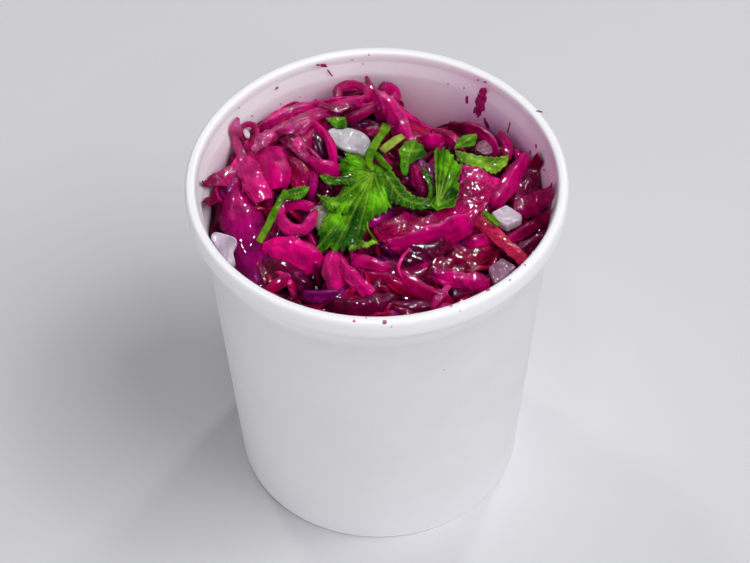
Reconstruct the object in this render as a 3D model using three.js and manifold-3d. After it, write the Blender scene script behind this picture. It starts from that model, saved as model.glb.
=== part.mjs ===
// Red cabbage slaw in a round white paper cup, garnished with flat parsley and pieces of onion.
// Millimetres, +Z up. The origin is the middle of the cup's foot, and -Y is the side nearest the eater.
import * as THREE from "three";
import { mergeVertices } from "three/addons/utils/BufferGeometryUtils.js";
import Module from "manifold-3d";

const wasm = await Module();
wasm.setup();

// The paper cup
const cupHeight = 101;
const rimRadius = 49;
const footRadius = 38;
const boardThickness = 0.6;
const rollWidth = 3; // the rolled rim, across
const rollHeight = 6.4; // the rolled rim, from its top to its lower lip
const footRecess = 6; // the floor stands this far above the table
const floorThickness = 0.8;
const cupSides = 64;

// The heap of slaw
const fit = 0.35; // the gap kept between touching pieces
const heapLevel = 84;
const heapTilt = 0.08; // it rises this much per millimetre towards the back
const coreDepth = 4; // the shreds lie this deep over the packed core
const heapBumps = [
  { x: -26, y: 12, rise: 5, spread: 13 }, // left shoulder
  { x: -8, y: 30, rise: 4, spread: 13 }, // ridge along the back
  { x: 2, y: 38, rise: 3, spread: 6 }, // its peak
  { x: 4, y: 4, rise: 6, spread: 15 }, // the middle, under the sprig
  { x: 28, y: 10, rise: 3, spread: 12 }, // right shoulder
  { x: 14, y: 40, rise: -9, spread: 7 }, // hollow against the back wall
  { x: -42, y: -14, rise: -5, spread: 9 }, // gap at the left wall
];
const tallestPoint = 96; // no shred reaches higher
const shredThickness = 1.7;
const shredKinds = [
  { count: 18, length: [22, 34], width: [7.5, 10.5], cup: 1.4, steps: 6, strips: 2 },
  { count: 28, length: [18, 28], width: [4, 6.5], cup: 0.7, steps: 6, strips: 1 },
  { count: 16, length: [16, 25], width: [2.6, 3.8], cup: 0, steps: 5, strips: 1 },
];

// Parsley and onion
const leafThickness = 0.5;
const stemRadius = 1.15;
const leafClearance = 1.6; // how high a leaf's middle surface lies over the heap

const degrees = Math.PI / 180;

function paint(color, roughness) {
  return new THREE.MeshStandardMaterial({ color, roughness, metalness: 0 });
}
const paper = paint(0xf3f3f5, 0.6);
const cabbage = paint(0xa8085c, 0.3);
const freshGreen = paint(0x3f8f12, 0.45);
const stemGreen = paint(0x8ab52a, 0.45);
const onionWhite = paint(0xdcd6de, 0.3);

// A seeded generator, so that the heap comes out the same each time
function randomFrom(seed) {
  let state = seed;
  return () => {
    state = (state + 0x6d2b79f5) | 0;
    let t = Math.imul(state ^ (state >>> 15), 1 | state);
    t = (t + Math.imul(t ^ (t >>> 7), 61 | t)) ^ t;
    return ((t ^ (t >>> 14)) >>> 0) / 4294967296;
  };
}
const random = randomFrom(20);
const between = ([low, high]) => low + (high - low) * random();

// A geometry as a solid: its shared vertices are merged first.
function toSolid(geometry) {
  const plain = geometry.clone();
  for (const name of Object.keys(plain.attributes)) if (name !== "position") plain.deleteAttribute(name);
  const merged = mergeVertices(plain, 1e-4);
  const vertProperties = new Float32Array(merged.attributes.position.array);
  const triVerts = new Uint32Array(merged.index.array);
  return new wasm.Manifold(new wasm.Mesh({ numProp: 3, vertProperties, triVerts }));
}

function toMesh(name, solid, material) {
  const { vertProperties, triVerts } = solid.getMesh();
  const geometry = new THREE.BufferGeometry();
  geometry.setAttribute("position", new THREE.BufferAttribute(vertProperties, 3));
  geometry.setIndex(new THREE.BufferAttribute(triVerts, 1));
  geometry.computeVertexNormals();
  const mesh = new THREE.Mesh(geometry, material);
  mesh.name = name;
  return mesh;
}

const largest = (solid) => solid.decompose().reduce((a, b) => (a.volume() > b.volume() ? a : b));
const joined = (solids) => solids.reduce((whole, piece) => whole.add(piece));

// A thick sheet over surface(u, v), with u and v from 0 to 1. Both faces are split into triangles alike.
function sheetSolid(surface, steps, strips, thickness) {
  const columns = strips + 1;
  const middle = [];
  for (let i = 0; i <= steps; i++) {
    for (let j = 0; j <= strips; j++) middle.push(surface(i / steps, j / strips));
  }
  const { clamp } = THREE.MathUtils;
  const at = (i, j) => middle[clamp(i, 0, steps) * columns + clamp(j, 0, strips)];
  const upper = [];
  const lower = [];
  for (let i = 0; i <= steps; i++) {
    for (let j = 0; j <= strips; j++) {
      const alongU = at(i + 1, j).clone().sub(at(i - 1, j));
      const alongV = at(i, j + 1).clone().sub(at(i, j - 1));
      const offset = alongU.cross(alongV).normalize().multiplyScalar(thickness / 2);
      upper.push(at(i, j).clone().add(offset));
      lower.push(at(i, j).clone().sub(offset));
    }
  }
  const below = upper.length;
  const faces = [];
  const quad = (a, b, c, d) => faces.push(a, b, c, a, c, d);
  for (let i = 0; i < steps; i++) {
    for (let j = 0; j < strips; j++) {
      const a = i * columns + j;
      const [b, c, d] = [a + columns, a + columns + 1, a + 1];
      quad(a, b, c, d);
      faces.push(below + a, below + c, below + b, below + a, below + d, below + c);
    }
  }
  const edge = (a, b) => quad(b, a, below + a, below + b);
  for (let i = 0; i < steps; i++) {
    edge(i * columns, (i + 1) * columns);
    edge((i + 1) * columns + strips, i * columns + strips);
  }
  for (let j = 0; j < strips; j++) {
    edge(j + 1, j);
    edge(steps * columns + j, steps * columns + j + 1);
  }
  const geometry = new THREE.BufferGeometry().setFromPoints([...upper, ...lower]);
  geometry.setIndex(faces);
  return toSolid(geometry);
}

// The cup's inner wall leans out evenly from foot to rim.
const outerRadiusAt = (z) => THREE.MathUtils.mapLinear(z, 0, cupHeight, footRadius, rimRadius - rollWidth);
const innerRadiusAt = (z) => outerRadiusAt(z) - boardThickness;

function heapHeight(x, y) {
  let z = heapLevel + heapTilt * y;
  for (const bump of heapBumps) {
    const away = (x - bump.x) ** 2 + (y - bump.y) ** 2;
    z += bump.rise * Math.exp(-away / (2 * bump.spread ** 2));
  }
  return z;
}

function inRoom(solid) {
  const { vertProperties } = solid.getMesh();
  for (let i = 0; i < vertProperties.length; i += 3) {
    const [x, y, z] = vertProperties.subarray(i, i + 3);
    if (z > tallestPoint || Math.hypot(x, y) > innerRadiusAt(z) - fit) return false;
  }
  return true;
}

// The cup is one turned wall: a foot ring, a raised floor, a leaning side and a rolled rim.
function makeCup() {
  const profile = [
    [0, footRecess],
    [footRadius - 3 * boardThickness, footRecess],
    [footRadius - 3 * boardThickness, 0],
    [footRadius, 0],
    [outerRadiusAt(cupHeight - rollHeight), cupHeight - rollHeight],
  ];
  const rollMiddle = rimRadius - rollWidth / 2;
  const softness = 0.5; // squares the roll's oval a little
  const rollSteps = 8;
  for (let i = 0; i <= rollSteps; i++) {
    const a = THREE.MathUtils.lerp(-70, 180, i / rollSteps) * degrees;
    const [c, s] = [Math.cos(a), Math.sin(a)];
    const swell = 1 / (Math.abs(c) ** (2 / softness) + Math.abs(s) ** (2 / softness)) ** (softness / 2);
    const lift = cupHeight - rollHeight / 2 + (swell * s * rollHeight) / 2;
    profile.push([rollMiddle + (swell * c * rollWidth) / 2, lift]);
  }
  const floorTop = footRecess + floorThickness;
  const inside = cupHeight - rollHeight;
  profile.push([innerRadiusAt(inside), inside], [innerRadiusAt(floorTop), floorTop], [0, floorTop]);
  const points = profile.map(([r, z]) => new THREE.Vector2(r, z));
  const turned = new THREE.LatheGeometry(points, cupSides);
  turned.rotateX(Math.PI / 2);
  return toSolid(turned);
}

// The packed slaw under the shreds: it fills the cup up to a bumpy surface.
function makeCore() {
  const [rings, sectors] = [10, 36];
  const bottom = footRecess + floorThickness + fit;
  const top = heapLevel - coreDepth;
  const reach = (z) => innerRadiusAt(z) - fit - 0.15; // a little more, as the cup's sides are flats
  const profile = [new THREE.Vector2(0, bottom), new THREE.Vector2(reach(bottom), bottom)];
  for (let i = rings; i >= 0; i--) profile.push(new THREE.Vector2((i / rings) * reach(top), top));
  const turned = new THREE.LatheGeometry(profile, sectors);
  turned.rotateX(Math.PI / 2);
  const place = turned.attributes.position;
  for (let i = 0; i < place.count; i++) {
    if (place.getZ(i) < top - 0.01) continue;
    const [x, y] = [place.getX(i), place.getY(i)];
    const bump = 0.7 * Math.sin(x * 0.55 + 1.3) * Math.cos(y * 0.6);
    const z = heapHeight(x, y) - coreDepth + bump;
    const share = Math.min(1, (reach(z) + 0.001) / reach(top)); // the edge follows the leaning wall
    place.setXYZ(i, x * share, y * share, z);
  }
  return toSolid(turned);
}

// One shred: a strip that arches out of the core and dips back into it.
function shred({ x, y, heading, length, width, bow, arch, dip, roll, cup, steps, strips }) {
  const [ax, ay] = [Math.cos(heading), Math.sin(heading)];
  const surface = (u, v) => {
    const [s, t] = [2 * u - 1, 2 * v - 1];
    const hump = 1 - s * s;
    const half = ((t * width) / 2) * (1 - 0.45 * s ** 4);
    const px = x + (ax * s * length) / 2 - ay * bow * hump;
    const py = y + (ay * s * length) / 2 + ax * bow * hump;
    const z = heapHeight(px, py) - dip + arch * hump - cup * t * t;
    const flat = half * Math.cos(roll);
    return new THREE.Vector3(px - ay * flat, py + ax * flat, z + half * Math.sin(roll));
  };
  return sheetSolid(surface, steps, strips, shredThickness);
}

// Shreds go on largest first, each kind spread evenly by the golden angle. One that would cross the cup
// or a topping is turned and shortened a few times, and left out when it still doesn't fit.
function makeShreds(keepOut) {
  const goldenAngle = 137.508 * degrees;
  const reach = innerRadiusAt(heapLevel) - 3;
  const placed = [];
  shredKinds.forEach(({ count, length, width, ...form }, kind) => {
    for (let i = 0; i < count; i++) {
      const angle = i * goldenAngle + kind;
      const radius = reach * Math.sqrt((i + 0.5) / count);
      const alongRim = angle + Math.PI / 2;
      const freedom = radius > 0.7 * reach ? 0.5 : 1.5;
      for (const share of [1, 0.97, 0.94, 0.9, 0.85, 0.8]) {
        const piece = shred({
          ...form,
          x: share * radius * Math.cos(angle),
          y: share * radius * Math.sin(angle),
          length: share ** 3 * between(length),
          width: share * between(width),
          heading: alongRim + between([-freedom, freedom]),
          bow: between([-3.5, 3.5]),
          dip: between([5, 6]),
          arch: between([5.5, 8]),
          roll: between([-0.5, 0.5]),
        });
        if (inRoom(piece) && piece.intersect(keepOut).isEmpty()) {
          placed.push(piece);
          break;
        }
      }
    }
  });
  return placed;
}

// A tube along a curve through points, for stems.
function tube(points, radius, sides = 8) {
  const section = new THREE.Shape().absarc(0, 0, radius, 0, 2 * Math.PI, false);
  const along = new THREE.CatmullRomCurve3(points.map((p) => new THREE.Vector3(...p)));
  const settings = { extrudePath: along, steps: 2 * points.length, curveSegments: sides / 2 };
  return toSolid(new THREE.ExtrudeGeometry(section, settings));
}

const onHeap = (x, y, lift) => [x, y, heapHeight(x, y) + lift];

// A leaf that fans out from its base. Each lobe has a direction, a reach and a spread in degrees, and the
// edge is notched into teeth. It lies over the heap in soft waves.
function fanLeaf({ x, y, lobes, from, to, steps, lift, rise = () => 0 }) {
  const edge = (angle) => {
    const reaches = lobes.map((lobe) => {
      const away = Math.min(1, Math.abs(angle - lobe.at) / lobe.spread);
      return lobe.reach * Math.sqrt(1 - away ** 2);
    });
    return Math.max(4.5, ...reaches) * (1 - 0.08 * Math.abs(Math.sin((angle * Math.PI) / 11)));
  };
  const surface = (u, v) => {
    const angle = THREE.MathUtils.lerp(from, to, u);
    const out = THREE.MathUtils.lerp(0.8, edge(angle), v);
    const [px, py] = [x + out * Math.cos(angle * degrees), y + out * Math.sin(angle * degrees)];
    const wave = 0.5 * Math.sin(angle * 0.12) * v;
    return new THREE.Vector3(...onHeap(px, py, lift + wave + rise(out, angle)));
  };
  return sheetSolid(surface, steps, 2, leafThickness);
}

// A narrow leaf or slice of leaf: a strip along a path of points on the heap, widest in its middle.
function bladeLeaf(points, width, tilt, thickness = leafThickness) {
  const along = new THREE.CatmullRomCurve3(points.map((p) => new THREE.Vector3(...onHeap(...p))));
  const surface = (u, v) => {
    const p = along.getPoint(u);
    const d = along.getTangent(u);
    const side = new THREE.Vector3(-d.y, d.x, 0).normalize();
    const half = (v - 0.5) * width * (0.55 + 0.45 * Math.sin(Math.PI * u));
    const crease = 0.25 * Math.sin(9 * u) * Math.cos(tilt);
    p.addScaledVector(side, half * Math.cos(tilt));
    p.z += half * Math.sin(tilt) + crease;
    return p;
  };
  return sheetSolid(surface, 6, 2, thickness);
}

// A piece of onion: a chip of one curved layer, set in among the shreds.
function onionChip({ x, y, heading, length, width, thickness, curl, slope, lift, round }) {
  const base = heapHeight(x, y) + lift;
  const [ax, ay] = [Math.cos(heading * degrees), Math.sin(heading * degrees)];
  const surface = (u, v) => {
    const [s, t] = [2 * u - 1, 2 * v - 1];
    const a = (s * length) / 2;
    const b = ((t * width) / 2) * (1 - round * s * s);
    return new THREE.Vector3(x + ax * a - ay * b, y + ay * a + ax * b, base + slope * b - curl * s * s);
  };
  return sheetSolid(surface, 6, 2, thickness);
}

// The sprig: a cut stem that forks into two stalks. One carries the broad lobed leaf over the front, the
// other a leaf that runs to the right and turns up into a fan.
function makeSprig() {
  const fork = [-0.5, 17];
  const broadBase = [0.5, 11];
  const sideBase = [3, 10];
  const fanBase = [18, -1];
  const stalk = (from, to, radius) => {
    const middle = [(from[0] + to[0]) / 2 + 0.4, (from[1] + to[1]) / 2];
    return tube([onHeap(...from, 2.2), onHeap(...middle, 2.1), onHeap(...to, leafClearance + 0.1)], radius);
  };
  const broadLobes = [
    { at: 150, reach: 11, spread: 24 },
    { at: 186, reach: 16, spread: 15 },
    { at: 209, reach: 18, spread: 14 },
    { at: 243, reach: 27, spread: 22 },
    { at: 276, reach: 15, spread: 20 },
  ];
  const fanLobes = [
    { at: 96, reach: 15, spread: 26 },
    { at: 66, reach: 13, spread: 22 },
    { at: 30, reach: 6, spread: 25 },
  ];
  const turnUp = (out) => 0.012 * out * out;
  const broad = { lobes: broadLobes, from: 128, to: 298, steps: 40, lift: leafClearance };
  const upright = { lobes: fanLobes, from: 8, to: 122, steps: 20, lift: 1.8, rise: turnUp };
  return joined([
    tube([onHeap(2.8, 28, 2.4), onHeap(1.6, 23, 3), onHeap(...fork, 2.2)], stemRadius),
    stalk(fork, broadBase, 0.8),
    stalk(fork, sideBase, 0.8),
    fanLeaf({ x: broadBase[0], y: broadBase[1], ...broad }),
    bladeLeaf([[...sideBase, leafClearance], [8, 3, 1.4], [13, -1.5, 1.4], [20, -2.5, 1.7]], 7, 0.25),
    fanLeaf({ x: fanBase[0], y: fanBase[1], ...upright }),
  ]);
}

function makeStemLeft() {
  return joined([
    tube([onHeap(-29.5, -11, 1.4), onHeap(-27.5, -3.5, 1.6), onHeap(-23, 6, 1.4)], stemRadius),
    bladeLeaf([[-24, 4.5, 1.3], [-21, 6.4, 1.5], [-17.5, 8.2, 1.4]], 3.4, 0.7, 1),
  ]);
}

// Every topping, by name, before the shreds are laid round them
const greens = {
  sprig: makeSprig(),
  leaf_back: bladeLeaf([[5, 20.5, 1.3], [8, 21.5, 1.8], [12, 19, 1.3]], 8, 0.35),
  leaf_blade: bladeLeaf([[11.2, 15.6, 2.2], [13.2, 11, 1.8], [14, 6, 1.2]], 3, 0.9),
  leaf_small: bladeLeaf([[20, 23.5, 1.2], [23.2, 24.6, 1.6], [26.5, 24.2, 1.2]], 4.6, 0.3),
  leaf_slice: bladeLeaf([[21, 18.5, 1.5], [27, 15, 1.8], [33.5, 15.2, 1.6]], 5, -0.3),
  leaf_far: bladeLeaf([[-12.5, 31.5, 1], [-10.3, 30.6, 1.2], [-8, 29.6, 1]], 3.4, 0.2),
};
const stems = {
  stem_left: makeStemLeft(),
  stem_pale: tube([onHeap(2.8, 18.2, 1.7), onHeap(5, 20.6, 2.9), onHeap(7, 23.4, 3.4)], 1),
  stem_bit: tube([onHeap(26.2, -2.2, 1.6), onHeap(27.4, -4.2, 1.9), onHeap(28.4, -6.6, 1.6)], 0.9),
};
const chip = { thickness: 2.4, curl: 0.5, slope: 0, lift: 0.2, round: 0.1 };
const petal = { ...chip, length: 14, width: 9, thickness: 1.8, round: 0.75, lift: 0.6 };
const dice = { ...chip, length: 7.6, width: 6.4, thickness: 2.8, slope: 0.3, lift: 0.8 };
const onions = {
  onion_back: onionChip({ ...petal, x: -7.5, y: 23.6, heading: -22 }),
  onion_right: onionChip({ ...dice, x: 33.4, y: -3.5, heading: 12 }),
  onion_front: onionChip({ ...chip, x: 31, y: -20.5, heading: -58, length: 8, width: 7, slope: 0.25 }),
  onion_left: onionChip({
    ...chip, x: -37, y: -13, heading: -66, length: 9.5, width: 6.8, slope: -0.2, lift: 0.6,
  }),
  onion_mid: onionChip({
    ...chip, x: -15.5, y: -3.5, heading: 68, length: 8, width: 5.4, thickness: 1.6, lift: -0.6,
  }),
};

// A solid with the gap all round it. The turn keeps the shifted faces of different pieces off each other.
function grown(solid, turn) {
  const [c, s] = [fit * Math.cos(turn), fit * Math.sin(turn)];
  const shifts = [[c, s, 0], [-c, -s, 0], [-s, c, 0], [s, -c, 0], [0, 0, fit], [0, 0, -fit]];
  return joined(shifts.map((shift) => solid.translate(shift)));
}

// Each topping gives way to those before it.
const toppings = {};
const taken = [];
for (const [name, solid] of Object.entries({ ...greens, ...stems, ...onions })) {
  toppings[name] = largest(taken.reduce((left, space) => left.subtract(space), solid));
  taken.push(grown(solid, 0.1 + 0.37 * taken.length));
}
const keepOut = joined(taken);

const core = makeCore().subtract(keepOut);
const slaw = largest(joined([core, ...makeShreds(keepOut)]));

const root = new THREE.Group();
root.add(toMesh("cup", makeCup(), paper));
root.add(toMesh("slaw", slaw, cabbage));
for (const name of Object.keys(greens)) root.add(toMesh(name, toppings[name], freshGreen));
for (const name of Object.keys(stems)) root.add(toMesh(name, toppings[name], stemGreen));
for (const name of Object.keys(onions)) root.add(toMesh(name, toppings[name], onionWhite));

export default root;
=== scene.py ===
# %% [markdown]
# # Red cabbage slaw in a paper cup
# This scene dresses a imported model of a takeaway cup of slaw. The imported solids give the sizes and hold
# the weight. Here the cup gets its rolled rim and its coated paper, and the heap becomes a tangle of wet
# cabbage, with a parsley sprig and pieces of raw onion. Sizes are in millimetres until a mesh is written.

import math

import bpy
import numpy as np
from mathutils import Matrix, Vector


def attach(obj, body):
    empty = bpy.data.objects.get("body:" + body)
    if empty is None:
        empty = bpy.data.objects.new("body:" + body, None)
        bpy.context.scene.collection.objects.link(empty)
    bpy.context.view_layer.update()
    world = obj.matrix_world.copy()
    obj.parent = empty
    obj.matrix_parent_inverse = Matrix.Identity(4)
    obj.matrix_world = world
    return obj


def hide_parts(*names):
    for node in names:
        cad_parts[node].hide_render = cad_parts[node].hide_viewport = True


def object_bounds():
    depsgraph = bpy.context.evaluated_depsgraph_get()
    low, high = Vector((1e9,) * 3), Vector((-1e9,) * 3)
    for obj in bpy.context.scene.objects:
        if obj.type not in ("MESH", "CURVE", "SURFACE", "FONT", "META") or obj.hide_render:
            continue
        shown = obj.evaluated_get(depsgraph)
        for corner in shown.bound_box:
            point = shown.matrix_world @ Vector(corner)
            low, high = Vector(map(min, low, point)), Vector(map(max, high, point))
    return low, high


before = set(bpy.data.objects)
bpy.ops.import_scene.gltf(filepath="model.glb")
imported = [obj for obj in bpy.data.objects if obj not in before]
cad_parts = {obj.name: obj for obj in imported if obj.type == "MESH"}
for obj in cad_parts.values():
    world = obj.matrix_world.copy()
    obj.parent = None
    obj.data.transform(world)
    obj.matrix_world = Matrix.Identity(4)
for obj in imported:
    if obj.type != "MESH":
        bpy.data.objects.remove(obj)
cad_box = [list(corner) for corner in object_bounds()]
MM = 0.001
CUP_HEIGHT = (cad_box[1][2] - cad_box[0][2]) / MM
RIM_RADIUS = (cad_box[1][0] - cad_box[0][0]) / 2 / MM
FOOT_RADIUS = 38
BOARD = 0.6
ROLL_WIDTH, ROLL_HEIGHT = 3, 6.4
FOOT_RECESS, FLOOR_THICKNESS = 6, 0.8
FLOOR_TOP = FOOT_RECESS + FLOOR_THICKNESS
rng = np.random.default_rng(7)
print(f"the cup is {CUP_HEIGHT:.1f} mm tall and {2 * RIM_RADIUS:.1f} mm across")

# %% [markdown]
# ## The camera
# The photo looks down at the cup with a long lens, so the rim is a wide ellipse and the sides taper
# towards the foot. The lens and the three small turns were fitted to the outlines of the rim and the foot.
# The same numbers turn a pixel of the photo into a ray, which is how a piece is put where the photo has it.

# %% Camera
PHOTO_SIZE = np.array([750, 563])
FOCAL = 2933
CAMERA_DISTANCE = 784
ELEVATION = math.radians(48.66)
YAW, PITCH, ROLL = np.radians([0.053, -0.548, -0.620])
SENSOR = 36


def turn(axis, angle):
    """The 3 by 3 matrix of a right-handed turn about one axis, given as its number."""
    c, s = math.cos(angle), math.sin(angle)
    matrix = np.eye(3)
    i, j = [(1, 2), (2, 0), (0, 1)][axis]
    matrix[[i, i, j, j], [i, j, i, j]] = [c, -s, s, c]
    return matrix


def placed(data, axes, place):
    """A camera or lamp in the scene, its own axes given as rows and its place in metres."""
    thing = bpy.data.objects.new(data.name, data)
    pose = np.eye(4)
    pose[:3, :3], pose[:3, 3] = np.transpose(axes), place
    thing.matrix_world = Matrix(pose.tolist())
    bpy.context.scene.collection.objects.link(thing)
    return thing


level_view = np.array([
    [1, 0, 0],
    [0, -math.sin(ELEVATION), -math.cos(ELEVATION)],
    [0, math.cos(ELEVATION), -math.sin(ELEVATION)],
])
camera_axes = turn(2, ROLL) @ turn(0, PITCH) @ turn(1, YAW) @ level_view  # rows: right, down, forward
eye = np.array([0, -CAMERA_DISTANCE * math.cos(ELEVATION),
                CUP_HEIGHT / 2 + CAMERA_DISTANCE * math.sin(ELEVATION)])

camera_data = bpy.data.cameras.new("photo_camera")
camera_data.sensor_width = SENSOR
camera_data.lens = SENSOR * FOCAL / PHOTO_SIZE[0]
camera_data.clip_start, camera_data.clip_end = 0.05, 20
bpy.context.scene.camera = placed(camera_data, camera_axes * [[1], [-1], [-1]], eye * MM)
print(f"camera lens {camera_data.lens:.1f} mm, {CAMERA_DISTANCE} mm from the cup")

# %% [markdown]
# ## Where things lie
# The slaw's mean surface is a gently tilted plane with a few round bumps, the same ones that the packed
# heap has. A spot of the photo is found by following its ray down until it meets that surface, or the
# inside of the cup if that comes first.

# %% Heap surface and spots
HEAP_LEVEL, HEAP_TILT = 84, 0.08
HEAP_BUMPS = [  # x, y, rise and spread
    (-26, 12, 5, 13),  # left shoulder
    (-8, 30, 4, 13),  # ridge along the back
    (2, 38, 3, 6),  # its peak
    (4, 4, 6, 15),  # the middle, under the sprig
    (28, 10, 3, 12),  # right shoulder
    (14, 40, -9, 7),  # hollow against the back wall
    (-42, -14, -5, 9),  # gap at the left wall
]
TOP_ROOM = 3
WALL_LEAN = (RIM_RADIUS - ROLL_WIDTH - FOOT_RADIUS) / CUP_HEIGHT
FIRST_GUESS, GUESSES, STEP_SHARE = 90, 14, 0.7


def inner_radius(z):
    """The inside of the leaning wall: it widens evenly from the foot to the rim."""
    return FOOT_RADIUS - BOARD + WALL_LEAN * z


def heap(x, y):
    """The slaw's mean height: a tilted plane plus round bumps, each falling off as a bell curve."""
    z = HEAP_LEVEL + HEAP_TILT * y
    for bump_x, bump_y, rise, spread in HEAP_BUMPS:
        z = z + rise * np.exp(-((x - bump_x) ** 2 + (y - bump_y) ** 2) / (2 * spread**2))
    return z


def above_heap(points):
    """How far points lie above the slaw's mean surface."""
    return points[..., 2] - heap(points[..., 0], points[..., 1])


def rays(pixels):
    """Unit vectors from the eye through pixels of the photo."""
    flat = (np.asarray(pixels, float) - PHOTO_SIZE / 2) / FOCAL
    forward = np.concatenate([flat, np.ones(flat.shape[:-1] + (1,))], axis=-1) @ camera_axes
    return forward / np.linalg.norm(forward, axis=-1, keepdims=True)


def wall_distance(direction, inset, near=False):
    """How far along a ray the cup's inside is: the roots of a quadratic, as the wall is a cone."""
    radius = inner_radius(eye[2]) - inset
    slope = WALL_LEAN * direction[..., 2]
    a = direction[..., 0] ** 2 + direction[..., 1] ** 2 - slope**2
    b = eye[0] * direction[..., 0] + eye[1] * direction[..., 1] - radius * slope
    c = eye[0] ** 2 + eye[1] ** 2 - radius**2
    root = np.sqrt(np.maximum(b**2 - a * c, 0))
    return (-b - root) / a if near else (-b + root) / a


def spot(pixels, lift=0, inset=1.2):
    """The point on each pixel's ray that lies lift above the heap, or inset off the wall if nearer, but
    always a little below the rim. The height is guessed again and again, each time less wrong."""
    direction = rays(pixels)
    distance = (FIRST_GUESS - eye[2]) / direction[..., 2]
    for _ in range(GUESSES):
        at = eye + distance[..., None] * direction
        distance = distance + STEP_SHARE * (above_heap(at) - lift) / -direction[..., 2]
    distance = np.minimum(distance, wall_distance(direction, inset))
    under_rim = (CUP_HEIGHT - TOP_ROOM - eye[2]) / direction[..., 2]
    return eye + np.maximum(distance, under_rim)[..., None] * direction


def keep_inside(points, gap=0.35, softness=0.4):
    """Presses points that cross the wall back in: their radius bends smoothly towards the wall's."""
    radius = np.hypot(points[..., 0], points[..., 1])
    room = inner_radius(points[..., 2]) - gap
    pressed = room - softness * np.logaddexp(0, (room - radius) / softness)
    share = np.where(radius > room - 4 * softness, pressed / np.maximum(radius, 1), 1)
    return points * np.stack([share, share, np.ones_like(share)], axis=-1)


print("the heap is", np.round(heap(0, 5), 1), "mm high in the middle and",
      np.round(heap(0, -42), 1), "at the front")

# %% [markdown]
# ## Making surfaces
# Every piece here is a closed surface computed as a whole array of rings of points. A cup, a leaf or a
# chip closes round a hub at both ends, and a ribbon closes flat. A lattice of random values, blended
# smoothly, gives the food its unevenness.

# %% Noise, paths and colours
HASH_PRIMES = (73856093, 19349663, 83492791, 40503)
HASH_FACTORS = ((13, 1274126177), (15, 668265263))


def noise(points, grain, seed):
    """Random values from -1 to 1 at the corners of cubes of size grain, blended smoothly between them."""
    cell = np.asarray(points, float) / grain
    base = np.floor(cell).astype(np.int64)
    t = cell - base
    t = t * t * (3 - 2 * t)
    total = np.zeros(cell.shape[:-1])
    for corner in np.ndindex(2, 2, 2):
        x, y, z = np.moveaxis(base + corner, -1, 0)
        mixed = (x * HASH_PRIMES[0]) ^ (y * HASH_PRIMES[1]) ^ (z * HASH_PRIMES[2]) ^ (seed * HASH_PRIMES[3])
        for shift, factor in HASH_FACTORS:
            mixed = ((mixed ^ (mixed >> shift)) * factor) & 0xFFFFFFFF
        total += (mixed / 2**31 - 1) * np.prod(np.where(corner, t, 1 - t), axis=-1)
    return total


def smooth_path(points, steps):
    """A Catmull-Rom curve through the points, at steps + 1 even parameter values."""
    p = np.asarray(points, float)
    p = np.concatenate([[2 * p[0] - p[1]], p, [2 * p[-1] - p[-2]]])
    s = np.linspace(0, len(p) - 3, steps + 1)
    i = np.minimum(s.astype(int), len(p) - 4)
    t = (s - i).reshape((-1,) + (1,) * (p.ndim - 1))
    a, b, c, d = p[i], p[i + 1], p[i + 2], p[i + 3]
    return 0.5 * (2 * b + (c - a) * t + (2 * a - 5 * b + 4 * c - d) * t**2 + (3 * b - a - 3 * c + d) * t**3)


def read_along(values, u):
    """Values spread evenly from 0 to 1, or a single one, read off at u."""
    return np.interp(u, np.linspace(0, 1, np.size(values)), np.atleast_1d(values))


def zigzag(x):
    """A saw of even teeth, from 0.5 down to -0.5 and back for each whole x."""
    return 2 * np.abs(x % 1 - 0.5) - 0.5


def unit(vectors):
    """Vectors scaled to length 1."""
    return vectors / np.maximum(np.linalg.norm(vectors, axis=-1, keepdims=True), 1e-9)


def linear(red, green, blue):
    """A colour as seen on a screen, from 0 to 255, as the light that Blender works with."""
    c = np.array([red, green, blue]) / 255
    return np.where(c <= 0.04045, c / 12.92, ((c + 0.055) / 1.055) ** 2.4)


def blend(first, second, share):
    """From the first colour at share 0 to the second at 1."""
    return first + share[..., None] * (second - first)


print("noise at three points:", np.round(noise([(0, 0, 0), (1, 0, 0), (2, 0, 0)], 3, 1), 2))

# %% Rings and meshes
def turned(profile, spokes):
    """Rings round the upright axis, one for each radius and height of a profile."""
    angle = np.linspace(0, 2 * math.pi, spokes, endpoint=False)
    radius, z = np.asarray(profile).T[..., None] * np.ones(spokes)
    return np.stack([radius * np.cos(angle), radius * np.sin(angle), z], -1)


def hub_faces(rings, spokes):
    """Quads between neighbouring rings, and a fan at each end round one of two more points."""
    ring = np.arange(spokes)
    after = (ring + 1) % spokes
    row = np.arange(rings - 1)[:, None] * spokes
    quads = np.stack([row + ring, row + after, row + spokes + after, row + spokes + ring], -1)
    last, hub = (rings - 1) * spokes, np.full(spokes, rings * spokes)
    fans = [np.stack([after, ring, hub], -1), np.stack([last + ring, last + after, hub + 1], -1)]
    return [quads.reshape(-1, 4), np.concatenate(fans)]


def strip_faces(rings, around):
    """Quads between neighbouring rings of a flat section, and a strip of quads across each end."""
    ring = np.arange(around)
    after = (ring + 1) % around
    start = np.arange(rings - 1)[:, None] * around
    sides = np.stack([start + ring, start + around + ring, start + around + after, start + after], -1)
    j = np.arange(around // 2 - 1)
    cap = np.stack([j, j + 1, around - 2 - j, around - 1 - j], -1)
    return [np.concatenate([sides.reshape(-1, 4), cap, (rings - 1) * around + cap[:, ::-1]])]


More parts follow.
